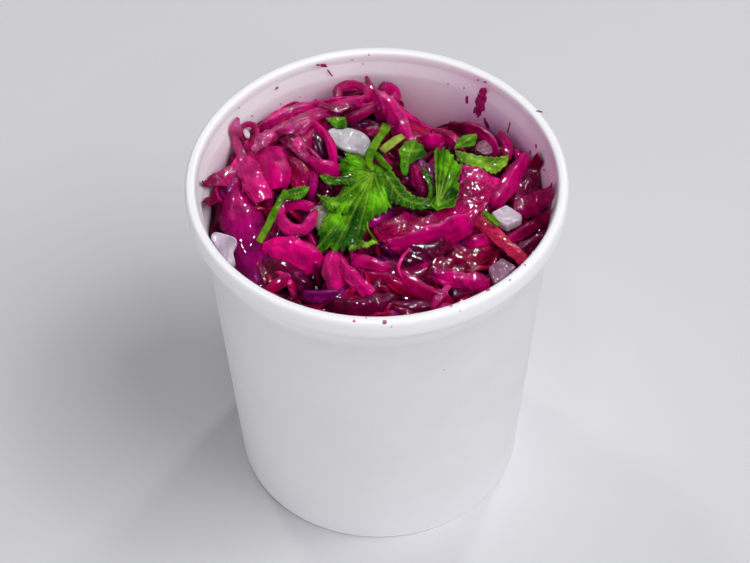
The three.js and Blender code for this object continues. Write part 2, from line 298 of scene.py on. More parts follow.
def add_piece(name, surfaces, material, node=None, hubs=True):
    """Writes closed surfaces, each its rings of points and of colours, into one smooth mesh object, which
    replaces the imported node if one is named. Without hubs the ends are closed flat."""
    ends = (0, -1) if hubs else ()
    points, colours, faces, count = [], [], [], 0
    for rings, tints in surfaces:
        faces += [part + count for part in (hub_faces if hubs else strip_faces)(*rings.shape[:2])]
        for values, listed in ((rings, points), (tints, colours)):
            listed += [values.reshape(-1, values.shape[-1])] + [values[[end]].mean(axis=1) for end in ends]
        count += rings.shape[0] * rings.shape[1] + len(ends)
    mesh = bpy.data.meshes.new(name)
    mesh.vertices.add(count)
    mesh.vertices.foreach_set("co", (np.concatenate(points) * MM).astype(np.float32).ravel())
    counts = np.concatenate([np.full(len(part), part.shape[1]) for part in faces])
    corners = np.concatenate([part.ravel() for part in faces])
    mesh.loops.add(len(corners))
    mesh.loops.foreach_set("vertex_index", corners.astype(np.int32))
    mesh.polygons.add(len(counts))
    mesh.polygons.foreach_set("loop_start", (np.cumsum(counts) - counts).astype(np.int32))
    mesh.polygons.foreach_set("use_smooth", np.ones(len(counts), bool))
    colours = np.clip(np.concatenate(colours), 0, 1)
    full = np.ones((count, 4))
    full[:, :colours.shape[1]] = colours
    layer = mesh.attributes.new("colour", "FLOAT_COLOR", "POINT")
    layer.data.foreach_set("color", full.astype(np.float32).ravel())
    mesh.update(calc_edges=True)
    mesh.validate()
    mesh.materials.append(material)
    piece = bpy.data.objects.new(name, mesh)
    bpy.context.scene.collection.objects.link(piece)
    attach(piece, "root")
    if node:
        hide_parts(node)
    print(f"{name}: {len(surfaces)} closed, {len(corners) - 2 * len(counts)} triangles")
    return piece


# %% [markdown]
# ## Materials
# Wet food is glossy in a broken way: a film of dressing lies over a finely wrinkled skin, so each
# highlight splits into many small ones. That is a coat over a bump of two sizes. On cabbage the coat is
# thin where the skin is smooth and thick where it is wrinkled. Only onion and paper let light in. The
# colour comes from an attribute that each piece carries, and a shared group adds mottling to it.

# %% Shared node groups
FINE_SHARE = 0.3
WET_PATCHES = 220


def add_node(tree, kind, values=None, **attributes):
    """A new shader node with its attributes and the plain values of some inputs."""
    node = tree.nodes.new("ShaderNode" + kind)
    for attribute, value in attributes.items():
        setattr(node, attribute, value)
    for socket, value in (values or {}).items():
        node.inputs[socket].default_value = value
    return node


def wire(tree, *joints):
    """Links nodes, each joint given as a node, its output, the next node and its input."""
    for source, output, target, socket in joints:
        tree.links.new(source.outputs[output], target.inputs[socket])


def new_group(name, inputs, output):
    """A node group with its sockets only. Each is a number, unless it is called Colour."""
    tree = bpy.data.node_groups.new(name, "ShaderNodeTree")
    for socket, side in [(socket, "INPUT") for socket in inputs] + [(output, "OUTPUT")]:
        kind = "NodeSocketColor" if socket == "Colour" else "NodeSocketFloat"
        tree.interface.new_socket(name=socket, socket_type=kind, in_out=side)
    return tree, tree.nodes.new("NodeGroupInput"), tree.nodes.new("NodeGroupOutput")


def mottling_group():
    """Multiplies a colour by a soft noise, so that it runs from darker to lighter patches."""
    tree, given, result = new_group(
        "mottling", ("Colour", "Patches per metre", "Darkest", "Lightest"), "Colour")
    place = add_node(tree, "TexCoord")
    patches = add_node(tree, "TexNoise", {"Detail": 2})
    spread = add_node(tree, "MapRange", {"From Min": 0.3, "From Max": 0.7})
    scale = add_node(tree, "VectorMath", operation="SCALE")
    wire(tree, (place, "Object", patches, "Vector"), (given, "Patches per metre", patches, "Scale"),
         (patches, "Fac", spread, "Value"), (given, "Darkest", spread, "To Min"),
         (given, "Lightest", spread, "To Max"), (given, "Colour", scale, 0),
         (spread, "Result", scale, "Scale"), (scale, "Vector", result, "Colour"))
    return tree


def wrinkles_group():
    """Two sizes of wrinkle as one height: a broad one, and a fine one at a share of its depth."""
    tree, given, result = new_group("wrinkles", ("Broad per metre", "Fine per metre"), "Height")
    place = add_node(tree, "TexCoord")
    total = add_node(tree, "Math", {1: FINE_SHARE}, operation="MULTIPLY_ADD")
    for size, socket in (("Broad per metre", 2), ("Fine per metre", 0)):
        wrinkle = add_node(tree, "TexNoise", {"Detail": 0.5, "Distortion": 1})
        wire(tree, (place, "Object", wrinkle, "Vector"), (given, size, wrinkle, "Scale"),
             (wrinkle, "Fac", total, socket))
    wire(tree, (total, "Value", result, "Height"))
    return tree


mottling, wrinkles = mottling_group(), wrinkles_group()
print("node groups:", mottling.name, wrinkles.name)

# %% Food materials
def blank_material(name, **settings):
    """A new material with its Principled BSDF, whose plain values are set by the sockets' names."""
    material = bpy.data.materials.new(name)
    material.use_nodes = True
    shader = material.node_tree.nodes["Principled BSDF"]
    for socket, value in settings.items():
        shader.inputs[socket.replace("_", " ")].default_value = value
    return material, shader


def food_material(name, patches, darkest, lightest, broad, fine, depth, gloss=(0.2, 0.45), film=None,
                  **settings):
    """Flesh coloured by its mesh's attribute, whose alpha says how wrinkled it is. A group mottles the
    colour, another gives the bump, and the roughness varies in patches between the two values of gloss.
    The two values of film are the coat's weight on smooth and on wrinkled skin."""
    material, shader = blank_material(name, **settings)
    tree = material.node_tree
    tint = add_node(tree, "Attribute", attribute_name="colour")
    mottled = add_node(tree, "Group", {"Patches per metre": patches, "Darkest": darkest,
                                       "Lightest": lightest}, node_tree=mottling)
    relief = add_node(tree, "Group", {"Broad per metre": broad, "Fine per metre": fine}, node_tree=wrinkles)
    by_piece = add_node(tree, "Math", operation="MULTIPLY")
    bump = add_node(tree, "Bump", {"Distance": depth})
    place = add_node(tree, "TexCoord")
    wet = add_node(tree, "TexNoise", {"Scale": WET_PATCHES})
    spread = add_node(tree, "MapRange", {"To Min": gloss[0], "To Max": gloss[1]})
    wire(tree, (tint, "Color", mottled, "Colour"), (mottled, "Colour", shader, "Base Color"),
         (relief, "Height", by_piece, 0), (tint, "Alpha", by_piece, 1), (by_piece, "Value", bump, "Height"),
         (bump, "Normal", shader, "Normal"), (place, "Object", wet, "Vector"),
         (wet, "Fac", spread, "Value"), (spread, "Result", shader, "Roughness"))
    if film:
        coat = add_node(tree, "Math", {1: film[1] - film[0], 2: film[0]}, operation="MULTIPLY_ADD")
        wire(tree, (tint, "Alpha", coat, 0), (coat, "Value", shader, "Coat Weight"))
    return material


cabbage_skin = food_material(
    "cabbage_skin", 300, 0.62, 1.25, 1000, 2400, 0.0007, gloss=(0.3, 0.5), film=(0.07, 0.5),
    Specular_IOR_Level=0.08, Specular_Tint=(1, 0, 0.45, 1), Coat_Roughness=0.02)
beet_skin = food_material(
    "beet_skin", 400, 0.6, 1.4, 1000, 2200, 0.0012,
    Specular_IOR_Level=0.1, Specular_Tint=(1, 0.05, 0.15, 1), Coat_Weight=0.8, Coat_Roughness=0.03)
print("food materials:", cabbage_skin.name, beet_skin.name)

# %% [markdown]
# ## The cup
# A paper cup is a turned shape, so one profile carried round the axis makes it: a foot ring, a raised
# floor, a leaning wall and a rolled rim whose section is a squarish oval. The board overlaps itself in a
# side seam at the back, which is a small step in the radius. The inside has a pink tint, more so near
# the slaw and on the right, and that tint is an attribute on the mesh: partly juice stains, partly painted
# reflection of the slaw and painted shade. The outside is painted greyer than the rim, as painted shade.

# %% Cup surface
CUP_SPOKES = 288
SIDE_ROWS, ROLL_ROWS, INSIDE_ROWS = 40, 44, 60
RIM_BULGE = 3.4  # the oval's power: 2 is a plain oval, and more is squarer
SEAM_AT, SEAM_STEP, SEAM_FADE = math.radians(98), 0.3, math.radians(14)
PAPER_WHITE, SIDE_SHADED_WHITE = linear(247, 246, 249), linear(232, 232, 235)
STAIN_AND_REFLECTION_TINT = linear(236, 124, 212)
NEAR_SLAW_TINT, NEAR_SLAW_FADE, RIGHT_SIDE_TINT, RIGHT_SIDE_HEADING = 0.4, 3.5, 0.5, math.radians(15)


def cup_profile():
    """Radius and height from under the floor, round the foot, up the side, over the rim and down to the
    floor, and how many rows come before the side."""
    lip = CUP_HEIGHT - ROLL_HEIGHT
    up = np.linspace(1.2, lip - 0.4, SIDE_ROWS)
    side = np.stack([inner_radius(up) + BOARD, up], -1)
    swing = np.radians(np.linspace(-80, 180, ROLL_ROWS))
    c, s = np.cos(swing), np.sin(swing)
    swell = (np.abs(c) ** RIM_BULGE + np.abs(s) ** RIM_BULGE) ** (-1 / RIM_BULGE)
    roll = np.stack([RIM_RADIUS - ROLL_WIDTH / 2 * (1 - swell * c),
                     CUP_HEIGHT - ROLL_HEIGHT / 2 * (1 - swell * s)], -1)
    down = np.linspace(lip + 0.6, FLOOR_TOP + 1, INSIDE_ROWS)
    inside = np.stack([inner_radius(down), down], -1)
    foot_inner = FOOT_RADIUS - 3 * BOARD
    under = [[12, FOOT_RECESS], [24, FOOT_RECESS], [foot_inner - 0.8, FOOT_RECESS],
             [foot_inner, FOOT_RECESS - 0.8], [foot_inner, 0.5], [foot_inner + 0.3, 0.05],
             [foot_inner + 0.6, 0], [FOOT_RADIUS - 0.5, 0], [FOOT_RADIUS - 0.12, 0.12], [FOOT_RADIUS, 0.5]]
    over = [[inner_radius(FLOOR_TOP) - 0.4, FLOOR_TOP + 0.1], [34, FLOOR_TOP], [18, FLOOR_TOP]]
    return np.concatenate([under, side, roll, inside, over]), len(under)


profile, under_rows = cup_profile()
cup_points = turned(profile, CUP_SPOKES)
azimuth = np.arctan2(cup_points[..., 1], cup_points[..., 0])
row = np.arange(len(profile))[:, None]
on_side = (row >= under_rows) & (row < under_rows + SIDE_ROWS - 3)
on_inside = row >= under_rows + SIDE_ROWS + ROLL_ROWS - 8
seam = SEAM_STEP * on_side * np.exp(-((azimuth - SEAM_AT) % (2 * math.pi)) / SEAM_FADE)
cup_points[..., :2] *= (1 + seam / np.maximum(profile[:, :1], 1))[..., None]

to_right = np.cos(azimuth - RIGHT_SIDE_HEADING) * 0.5 + 0.5
blotches = noise(cup_points, 9, 3) * 0.5 + noise(cup_points, 3.5, 4) * 0.3
# the tint is juice stains in blotches plus painted reflection of the slaw and painted shade, strongest near
# the slaw and on the right
juice = on_inside * np.clip(NEAR_SLAW_TINT * np.exp(-np.maximum(above_heap(cup_points), 0) / NEAR_SLAW_FADE)
                            + (RIGHT_SIDE_TINT + 0.3 * blotches) * to_right**3, 0, 1)
# the outside gets a greyer white than the rim and inside: painted shade
cup_colour = np.where(on_side[..., None], SIDE_SHADED_WHITE, blend(PAPER_WHITE, STAIN_AND_REFLECTION_TINT, juice))
coated_paper = food_material(
    "coated_paper", 60, 0.985, 1.015, 900, 5200, 0.00003, gloss=(0.42, 0.55), Specular_IOR_Level=0.12,
    Subsurface_Weight=0.08, Subsurface_Radius=(0.002, 0.002, 0.002))
add_piece("paper_cup", [(cup_points, cup_colour)], coated_paper, "cup")

# %% [markdown]
# ## The imported slaw
# Under the shreds the heap is a mass painted almost black, as painted shade for the depths between shreds.
# It is a disc of rings at the depth where the shreds bed in, bumpy, and closed by a wall down to the cup's
# floor. It only shows as the dark between shreds, so it needs no finer shape.

# %% Core surface
CORE_DEPTH, CORE_GAP = 4.6, 0.8
CORE_RINGS, CORE_SIDE_RINGS, CORE_SPOKES = 60, 12, 160
CORE_RADIUS = inner_radius(HEAP_LEVEL - CORE_DEPTH) - CORE_GAP

reach = np.linspace(0.02, 1, CORE_RINGS)[::-1]
core_top = turned(np.stack([reach * CORE_RADIUS, 0 * reach], -1), CORE_SPOKES)
core_top[..., 2] = heap(core_top[..., 0], core_top[..., 1]) - CORE_DEPTH
core_top[..., 2] += 0.9 * noise(core_top, 5, 11) + 0.4 * noise(core_top, 2, 12)
side_z = np.linspace(FLOOR_TOP + 0.3, HEAP_LEVEL - CORE_DEPTH - 6, CORE_SIDE_RINGS)
core_side = turned(np.stack([inner_radius(side_z) - CORE_GAP, side_z], -1), CORE_SPOKES)
core_points = np.concatenate([core_side, core_top])
# the core's near-black colour is painted shade
dark_core_skin = food_material("painted_dark_core", 300, 0.5, 1.4, 600, 1800, 0.0006, Coat_Weight=0.6, Coat_Roughness=0.1)
add_piece("slaw_core", [(core_points, linear(30, 0, 18) * np.ones_like(core_points))], dark_core_skin,
          "slaw")

# %% [markdown]
# ## Shreds
# A shred is a ribbon: a flat section with crisp corners, carried along a path. The section may curl into a
# trough, fold, lean over, and ripple towards its edges, and its two ends narrow. Red cabbage is dark on the
# skin side and paler along its cut edges, so the colour is worked out along with the shape. The deeper a
# shred lies in the heap, the darker it is painted, as painted shade for the gaps.

# %% Ribbon surface
PALETTE = {
    "magenta": linear(166, 0, 88),
    "bright": linear(206, 0, 112),
    "pink": linear(216, 26, 124),
    "vivid": linear(244, 0, 132),
    "red": linear(152, 0, 52),
    "wine": linear(106, 0, 42),
    # dark and deep are partly the colour of darker pieces and partly painted shade for gaps and depths
    "dark": linear(66, 0, 34),
    "deep": linear(44, 0, 30),
    "plum": linear(104, 2, 84),
    "ear": linear(172, 72, 120),
    "beet": linear(202, 34, 82),
}
CUT_EDGE = linear(220, 84, 150)
STRAND_LENGTH, STRAND_WIDTH = 5, 0.9  # the grooves' grain, along and across
EDGE_GRAINS, SHEET_GRAINS, CUT_GRAIN, TONE_GRAIN = (2.6, 0.9), (5.5, 2.4, 1.1), 3, 4.5
EDGES_APART = 40  # so far apart, in the noise, are a shred's two edges
NARROWEST, FOLD_ROUNDING = 0.4, 0.12
END_POWER, CUT_POWER = 9, 14  # how late the ends narrow, and how close to the edge it is pale


def painted_depth_shade(points, deepest=4.6, darkest=0.1):
    """The deeper a point lies in the heap, the darker it is painted: painted shade of the gaps, partly juice.
    """
    t = np.clip(above_heap(points) / deepest + 1, 0, 1)
    return darkest + (1 - darkest) * t * t * (3 - 2 * t)


def section(around):
    """A flat closed section with crisp corners, as shares of half its width and half its thickness. Two
    thirds of its points lie on the upper face, from right to left, and the rest return below."""
    over = around * 2 // 3
    under = around - over
    t = np.concatenate([1 - 2 * (np.arange(over) + 0.5) / over, 2 * (np.arange(under) + 0.5) / under - 1])
    a = 0.6 * t + 0.4 * np.sin(t * math.pi / 2)
    return a, np.sqrt(1 - a**8) * np.where(np.arange(around) < over, 1, -1)


def ribbon(path, width, thickness=0.9, roll=0.0, curl=0.0, ruffle=0.0, waves=3, tip=0.8, crinkle=0.25,
           ragged=0.2, fold=0.0, crease=0.0, grain=0.25, colour="magenta", end_colour=None, edge=0.35,
           face=(0, 0, 1), steps=44, around=14, seed=0):
    """A flat section carried along a path. It looks the way of face, turned by roll; curl bends it into
    an arc, fold bends it along a line at crease, ruffle waves its edges, crinkle moves the whole sheet by
    noise of three sizes, grain grooves it lengthwise, and ragged draws each edge in and out."""
    centre = smooth_path(path, steps)
    u = np.linspace(0, 1, steps + 1)[:, None]
    width = smooth_path(np.resize(width, (max(np.size(width), 2), 1)), steps)
    tangent = unit(np.gradient(centre, axis=0))
    side = unit(np.cross(tangent, face))
    up = np.cross(side, tangent)
    lean = np.radians(read_along(roll, u))
    side, up = side * np.cos(lean) + up * np.sin(lean), up * np.cos(lean) - side * np.sin(lean)
    a, b = section(around)
    to_end = np.abs(2 * u - 1) ** END_POWER
    end = 1 - (1 - tip) * to_end
    beside = centre[:, None] + EDGES_APART * np.sign(a)[:, None]
    uneven = 1 + ragged * (noise(beside, EDGE_GRAINS[0], seed + 5)
                           + 0.5 * noise(beside, EDGE_GRAINS[1], seed + 9))
    half = np.maximum(width, NARROWEST) / 2 * end * uneven
    bend = math.radians(curl)
    theta = a * bend / 2
    across = half * a * np.sinc(theta / math.pi)
    sag = half * a**2 * bend / 4 * np.sinc(theta / (2 * math.pi)) ** 2
    line = crease + 0.3 * noise(centre, 7, seed + 7)[:, None]
    sag = sag + half * fold * (np.hypot(a - line, FOLD_ROUNDING) - np.hypot(line, FOLD_ROUNDING))
    wave = ruffle * np.abs(a) ** 1.5 * np.sin(2 * math.pi * waves * u + np.where(a < 0, 2.1, 0) + seed)
    middle = centre[:, None] + side[:, None] * across[..., None] + up[:, None] * (wave - sag)[..., None]
    walked = np.concatenate([[0], np.cumsum(np.linalg.norm(np.diff(centre, axis=0), axis=-1))])[:, None]
    strand = np.stack([walked / STRAND_LENGTH + 0 * across, across / STRAND_WIDTH, 0.5 + 0 * across], -1)
    grooves = 0.65 * noise(strand, 1, seed + 8) + 0.35 * noise(strand * 2.3, 1, seed + 10)
    folds = noise(middle, SHEET_GRAINS[0], seed + 6) * 0.4 + grain * grooves + crinkle * (
        noise(middle, SHEET_GRAINS[1], seed + 1) + 0.45 * noise(middle, SHEET_GRAINS[2], seed + 2))
    middle = middle + up[:, None] * folds[..., None]
    outward = up[:, None] * np.cos(theta)[:, None] + side[:, None] * np.sin(theta)[:, None]
    thick = thickness / 2 * (1 - 0.5 * to_end) * b
    points = middle + outward * thick[..., None]
    tone = 1 + 0.25 * noise(middle, TONE_GRAIN, seed + 3) + 0.45 * grooves
    cut = np.clip(np.abs(a) ** CUT_POWER * edge * (0.6 + 0.7 * noise(middle, CUT_GRAIN, seed + 4)), 0, 1)
    flesh = blend(PALETTE[colour], PALETTE[end_colour or colour], u) * tone[..., None]
    # deeper points are painted darker: painted shade for the gaps between shreds
    flesh = blend(flesh, CUT_EDGE, cut) * painted_depth_shade(points)[..., None]
    wrinkled = np.full(flesh.shape[:2] + (1,), min(1, 0.05 + crinkle**1.2))
    return keep_inside(points), np.concatenate([flesh, wrinkled], axis=-1)


print(len(PALETTE), "colours of cabbage and beetroot")

# %% [markdown]
# ## Filling the heap
# Most shreds are only half seen, so they are laid by rule: each kind is spread evenly by the golden angle,
# lies nearly along the rim where it is near the wall, arches over its middle and dips at its ends. The
# widest lie deepest. A seeded generator gives each its own length, width, lean and colour.

# %% Shreds laid by rule
GOLDEN_ANGLE = math.radians(137.508)
SPREAD_RADIUS, NEAR_WALL = 42.5, 30
FREEDOM_AT_WALL, FREEDOM = 0.5, 1.57  # how far a shred may turn from lying along the rim
KIND_TURN = 0.7  # radians between the spirals of two kinds
KINDS = [  # name, count, length, width, lift, colours
    # the deepest kind is painted in the darkest colours, as painted shade for the depths
    ("shreds_deep", 90, (20, 34), (6, 10), (-5.0, -3.4), ("dark", "deep", "dark", "wine")),
    ("shreds_middle", 150, (16, 30), (3.5, 7), (-3.6, -1.6), ("wine", "wine", "dark", "red", "plum")),
    ("shreds_upper", 150, (12, 24), (2.4, 4.6), (-2.4, -0.4), ("magenta", "wine", "red", "wine", "plum")),
    ("shreds_fine", 150, (7, 16), (0.9, 1.9), (-1.4, 0.4), ("magenta", "bright", "red", "pink", "wine")),
]
LOW_PLACES = [  # circles in the photo as x, y, radius, and how deep the shreds lie there
    # under the toppings
    (352, 205, 42, 2.6), (393, 190, 26, 2.6), (447, 178, 26, 2.6), (349, 140, 24, 2.6),
    (411, 155, 14, 2.6), (466, 141, 12, 2.6), (482, 162, 22, 2.6), (507, 214, 16, 2.6),
    (502, 268, 16, 2.6), (322, 216, 14, 2.6), (224, 248, 16, 2.6), (270, 222, 14, 2.6),
    (385, 140, 12, 2.6), (337, 122, 10, 2.6),
    # the hollows between the shreds on top, where the sunk shreds are also painted darker by the depth shade
    (308, 280, 9, 5), (322, 284, 9, 5), (366, 124, 12, 5), (422, 281, 7, 4), (378, 257, 8, 4),
    (391, 256, 8, 4), (519, 246, 9, 4), (531, 240, 8, 4), (320, 142, 9, 5), (298, 217, 9, 4),
    (272, 205, 8, 3), (300, 197, 8, 4), (384, 203, 9, 3), (210, 205, 9, 4), (213, 222, 9, 4),
    (300, 300, 12, 4), (340, 312, 10, 3), (402, 300, 8, 3),
]


def pixel_of(points):
    """Where the camera sees points: the rays() of the photo the other way round."""
    seen = (np.asarray(points) - eye) @ camera_axes.T
    return seen[..., :2] / seen[..., 2:] * FOCAL + PHOTO_SIZE / 2


def lowered(points):
    """Sinks points at each low place, fading out at the edge of its circle."""
    pixels = pixel_of(points)
    sink = np.zeros(pixels.shape[:-1])
    for x, y, radius, depth in LOW_PLACES:
        away = np.hypot(pixels[..., 0] - x, (pixels[..., 1] - y) * 1.2) / radius
        sink = np.maximum(sink, depth * np.clip(1.7 - away, 0, 0.6) / 0.6)
    return points - sink[..., None] * [0, 0, 1]


def laid_shred(index, count, length, width, lift, colours, turn_by):
    """A shred whose path is a bowed arch over the heap, placed by its number in the spiral."""
    angle = index * GOLDEN_ANGLE + turn_by
    radius = SPREAD_RADIUS * math.sqrt((index + 0.5) / count)
    centre = radius * np.array([math.cos(angle), math.sin(angle)])
    freedom = FREEDOM_AT_WALL if radius > NEAR_WALL else FREEDOM
    heading = angle + math.pi / 2 + rng.uniform(-freedom, freedom)
    along = np.array([math.cos(heading), math.sin(heading)])
    long, wide, high = rng.uniform(*length), rng.uniform(*width), rng.uniform(*lift)
    bow, arch = rng.uniform(-4, 4), rng.uniform(1.5, 4)
    s = np.linspace(-1, 1, 6)[:, None]
    plan = centre + along * s * long / 2 + along[::-1] * [-1, 1] * bow * (1 - s**2)
    z = heap(plan[:, 0], plan[:, 1]) + high + arch * (0.5 - s[:, 0] ** 2) + rng.normal(0, 0.35, 6)
    return ribbon(lowered(np.column_stack([plan, z])), wide, thickness=rng.uniform(0.6, 1.2),
                  roll=rng.uniform(-40, 40), curl=rng.uniform(-40, 60), ruffle=rng.uniform(0, 0.6),
                  waves=rng.uniform(1, 3), tip=rng.uniform(0.5, 1), fold=rng.uniform(0, 0.8),
                  crease=rng.uniform(-0.4, 0.4), crinkle=rng.uniform(0.1, 0.6),
                  colour=colours[rng.integers(len(colours))], edge=rng.uniform(0, 0.5),
                  steps=30, around=12, seed=int(rng.integers(1000)))


for number, (name, count, *rules) in enumerate(KINDS):
    laid = [laid_shred(i, count, *rules, KIND_TURN * number) for i in range(count)]
    add_piece(name, laid, cabbage_skin, hubs=False)

# %% [markdown]
# ## The shreds that show
# On top lie the pieces that the eye picks out: broad smooth leaves on the left, a ridge along the back, and
# crinkled strips on the right. Each row below follows one of them across the photo. Its route is given in
# pixels with a lift above the heap in millimetres, and its width in pixels, so it lies where it should.
# Unless a row says that an end is free, that end runs on and dives under its neighbours.

# %% Rows of shreds, left side
LEFT_SHREDS = [  # colours at both ends, widths, route of (x, y, lift), what differs from a plain shred
    ("magenta plum", (34, 44, 46, 42, 30), [(240, 192, 1), (241, 208, 2.6), (246, 232, 3.4), (252, 256, 2.4),
     (260, 284, -1)], dict(curl=60, crinkle=0.15, fold=0.25, crease=0.3, edge=0.1, ragged=0.1)),
    ("ear magenta", (5, 18, 11, 10, 14), [(237, 117, 5), (234, 129, 5), (236, 141, 3.6), (240, 152, 2.6),
     (246, 166, 1)], dict(free="start", fold=0.3, crease=0.5, crinkle=0.15)),
    ("wine magenta", (6, 6, 6, 6, 5), [(242, 139, 3.4), (241, 130, 4.6), (248, 125, 5), (256, 129, 4.4),
     (257, 137, 3)], dict(roll=70, thickness=1.5, fold=0)),
    ("magenta pink", (32, 36, 30, 19), [(248, 146, 1), (252, 162, 3), (257, 182, 3.6), (265, 200, 2.4)],
     dict(curl=20, crinkle=0.5, free="end", fold=0.6, crease=0.3)),
    ("magenta bright", (28, 37, 31, 20), [(259, 150, 2), (270, 158, 4), (277, 172, 4.2), (279, 188, 3)],
     dict(curl=30, crinkle=0.15, free="end", fold=0.45, crease=-0.3)),
    ("wine pink", (4, 13, 19, 22), [(200, 182, 3.4), (213, 180, 3.4), (228, 176, 3), (243, 170, 1.6)],
     dict(curl=-30, crinkle=0.5, free="start", edge=0.6)),
    ("wine magenta", (12, 14, 12), [(214, 196, -0.4), (226, 186, 0.6), (240, 184, 0.6)], dict()),
    ("magenta bright", (8, 13, 13, 12, 9), [(258, 130, 1.4), (272, 121, 3.4), (292, 111, 3.8),
     (316, 105, 3.8), (342, 99, 3.4)], dict(fold=0.8, crease=-0.2, crinkle=0.6, ragged=0.4)),
    ("pink magenta", (13, 15, 14, 15, 13), [(252, 145, 2), (270, 134, 4.4), (296, 121, 5.2), (325, 111, 5.2),
     (362, 98, 4)], dict(fold=0.9, crease=-0.1, crinkle=0.6, ragged=0.45, edge=0.6)),
    # a pale pink piece that stands for a glint on the ridge: painted highlight
    ("ear pink", (6, 12, 10), [(253, 151, 4.8), (262, 141, 6), (276, 135, 5.4)],
     dict(free="both", crinkle=0.9, ragged=0.5, edge=1)),
    ("bright magenta", (7, 11, 8), [(284, 131, 5.6), (297, 128, 6.4), (312, 121, 5)],
     dict(crinkle=0.8, ragged=0.4, edge=0.8)),
    ("magenta wine", (6, 10, 7), [(322, 104, 5.4), (338, 108, 6), (352, 104, 5)],
     dict(crinkle=0.7, ragged=0.4, roll=30)),
    ("wine red", (10, 14, 12), [(277, 132, 1.6), (296, 127, 3), (318, 121, 2.6)], dict(fold=0.6)),
    ("wine magenta", (7, 8, 7, 8, 7), [(338, 98, 3), (340, 89, 4), (353, 85, 4.4), (366, 89, 4),
     (367, 98, 3)], dict(roll=62, thickness=2, fold=0, crinkle=0.3)),
    ("magenta magenta", (3, 11, 16, 12), [(366, 76, 2), (371, 88, 4), (378, 101, 4.4), (382, 114, 2.4)],
     dict(free="start", fold=0.7, crinkle=0.5)),
    ("red magenta", (15, 19, 15), [(297, 151, 1.6), (311, 137, 2.8), (318, 124, 3)], dict(fold=0.5)),
    # a dark shred in the gap beside the ridge: painted shade
    ("dark dark", (12, 14, 12), [(313, 128, 2.6), (319, 140, 3), (321, 156, 1.6)], dict(fold=0.2)),
    ("magenta bright", (7, 9, 9, 7), [(308, 119, 3.4), (322, 130, 5.6), (331, 146, 5.4), (335, 166, 2.6)],
     dict(fold=0.8, edge=0.9, crinkle=0.15, thickness=1.2)),
    ("wine magenta", (12, 18, 12), [(284, 137, 3), (296, 145, 4), (308, 158, 2.6)],
     dict(crinkle=1.1, ruffle=0.9, waves=3, edge=0.8, fold=-0.3)),
    ("pink magenta", (8, 13, 9), [(296, 139, 3.6), (301, 150, 4.4), (311, 160, 3)],
     dict(crinkle=1.1, ruffle=0.6, waves=4, edge=0.9)),
    ("bright magenta", (5, 14, 17), [(310, 162, 3.8), (322, 166, 4.6), (338, 171, 2.4)],
     dict(free="start", fold=0.6)),
    ("bright plum", (8, 9, 7), [(314, 174, 2.6), (313, 185, 3.8), (311, 196, 2)], dict(fold=0.6)),
    ("wine red", (17, 23, 18), [(285, 160, 1.8), (297, 170, 3), (304, 186, 1.6)], dict(fold=0.3)),
    ("magenta pink", (9, 11, 12, 12, 10), [(284, 203, 0.4), (280, 217, 2.4), (290, 229, 3.2), (305, 228, 3),
     (315, 214, 1.4)], dict(roll=(30, 0, -40), thickness=1.6, fold=0.5, crinkle=0.4)),
    ("magenta magenta", (9, 11, 10), [(283, 208, 1), (298, 204, 2.8), (315, 208, 1)], dict(fold=0.5)),
    ("vivid bright", (14, 29, 31, 29, 17), [(263, 246, 2), (277, 249, 4), (294, 254, 4.8), (311, 260, 4),
     (323, 265, 1)], dict(free="both", crinkle=0.25, fold=0.7, crease=-0.45)),
    ("wine dark", (18, 27, 25, 16), [(263, 262, 0.6), (278, 270, 1.8), (292, 276, 1.4), (304, 286, -1)],
     dict(fold=0.3)),
    ("red magenta", (9, 12, 10), [(264, 292, 0.4), (279, 283, 2.6), (296, 271, 1.4)], dict(fold=0.6)),
    ("plum plum", (10, 12, 11), [(303, 295, 2), (318, 296, 2.8), (338, 295, 1)],
     dict(free="both", fold=0.6, thickness=2, edge=0.5)),
    ("pink magenta", (14, 20, 18), [(335, 252, 2), (331, 268, 3.8), (338, 288, 1)],
     dict(fold=0.6, crease=0.3)),
    ("pink bright", (11, 14, 15), [(342, 263, 2.6), (354, 279, 4.2), (371, 295, 2)],
     dict(free="end", fold=0.8, crinkle=0.6, edge=0.9)),
    ("wine dark", (17, 22, 22), [(335, 305, 0.6), (358, 307, 2.4), (390, 304, 0.6)],
     dict(fold=0.6, crease=-0.4)),
    ("bright magenta", (12, 15, 11, 10), [(352, 257, 3), (360, 260, 3.6), (376, 265, 3.2), (390, 268, 1.6)],
     dict(free="start", fold=0.6, crinkle=0.2)),
]
print(len(LEFT_SHREDS), "rows on the left")

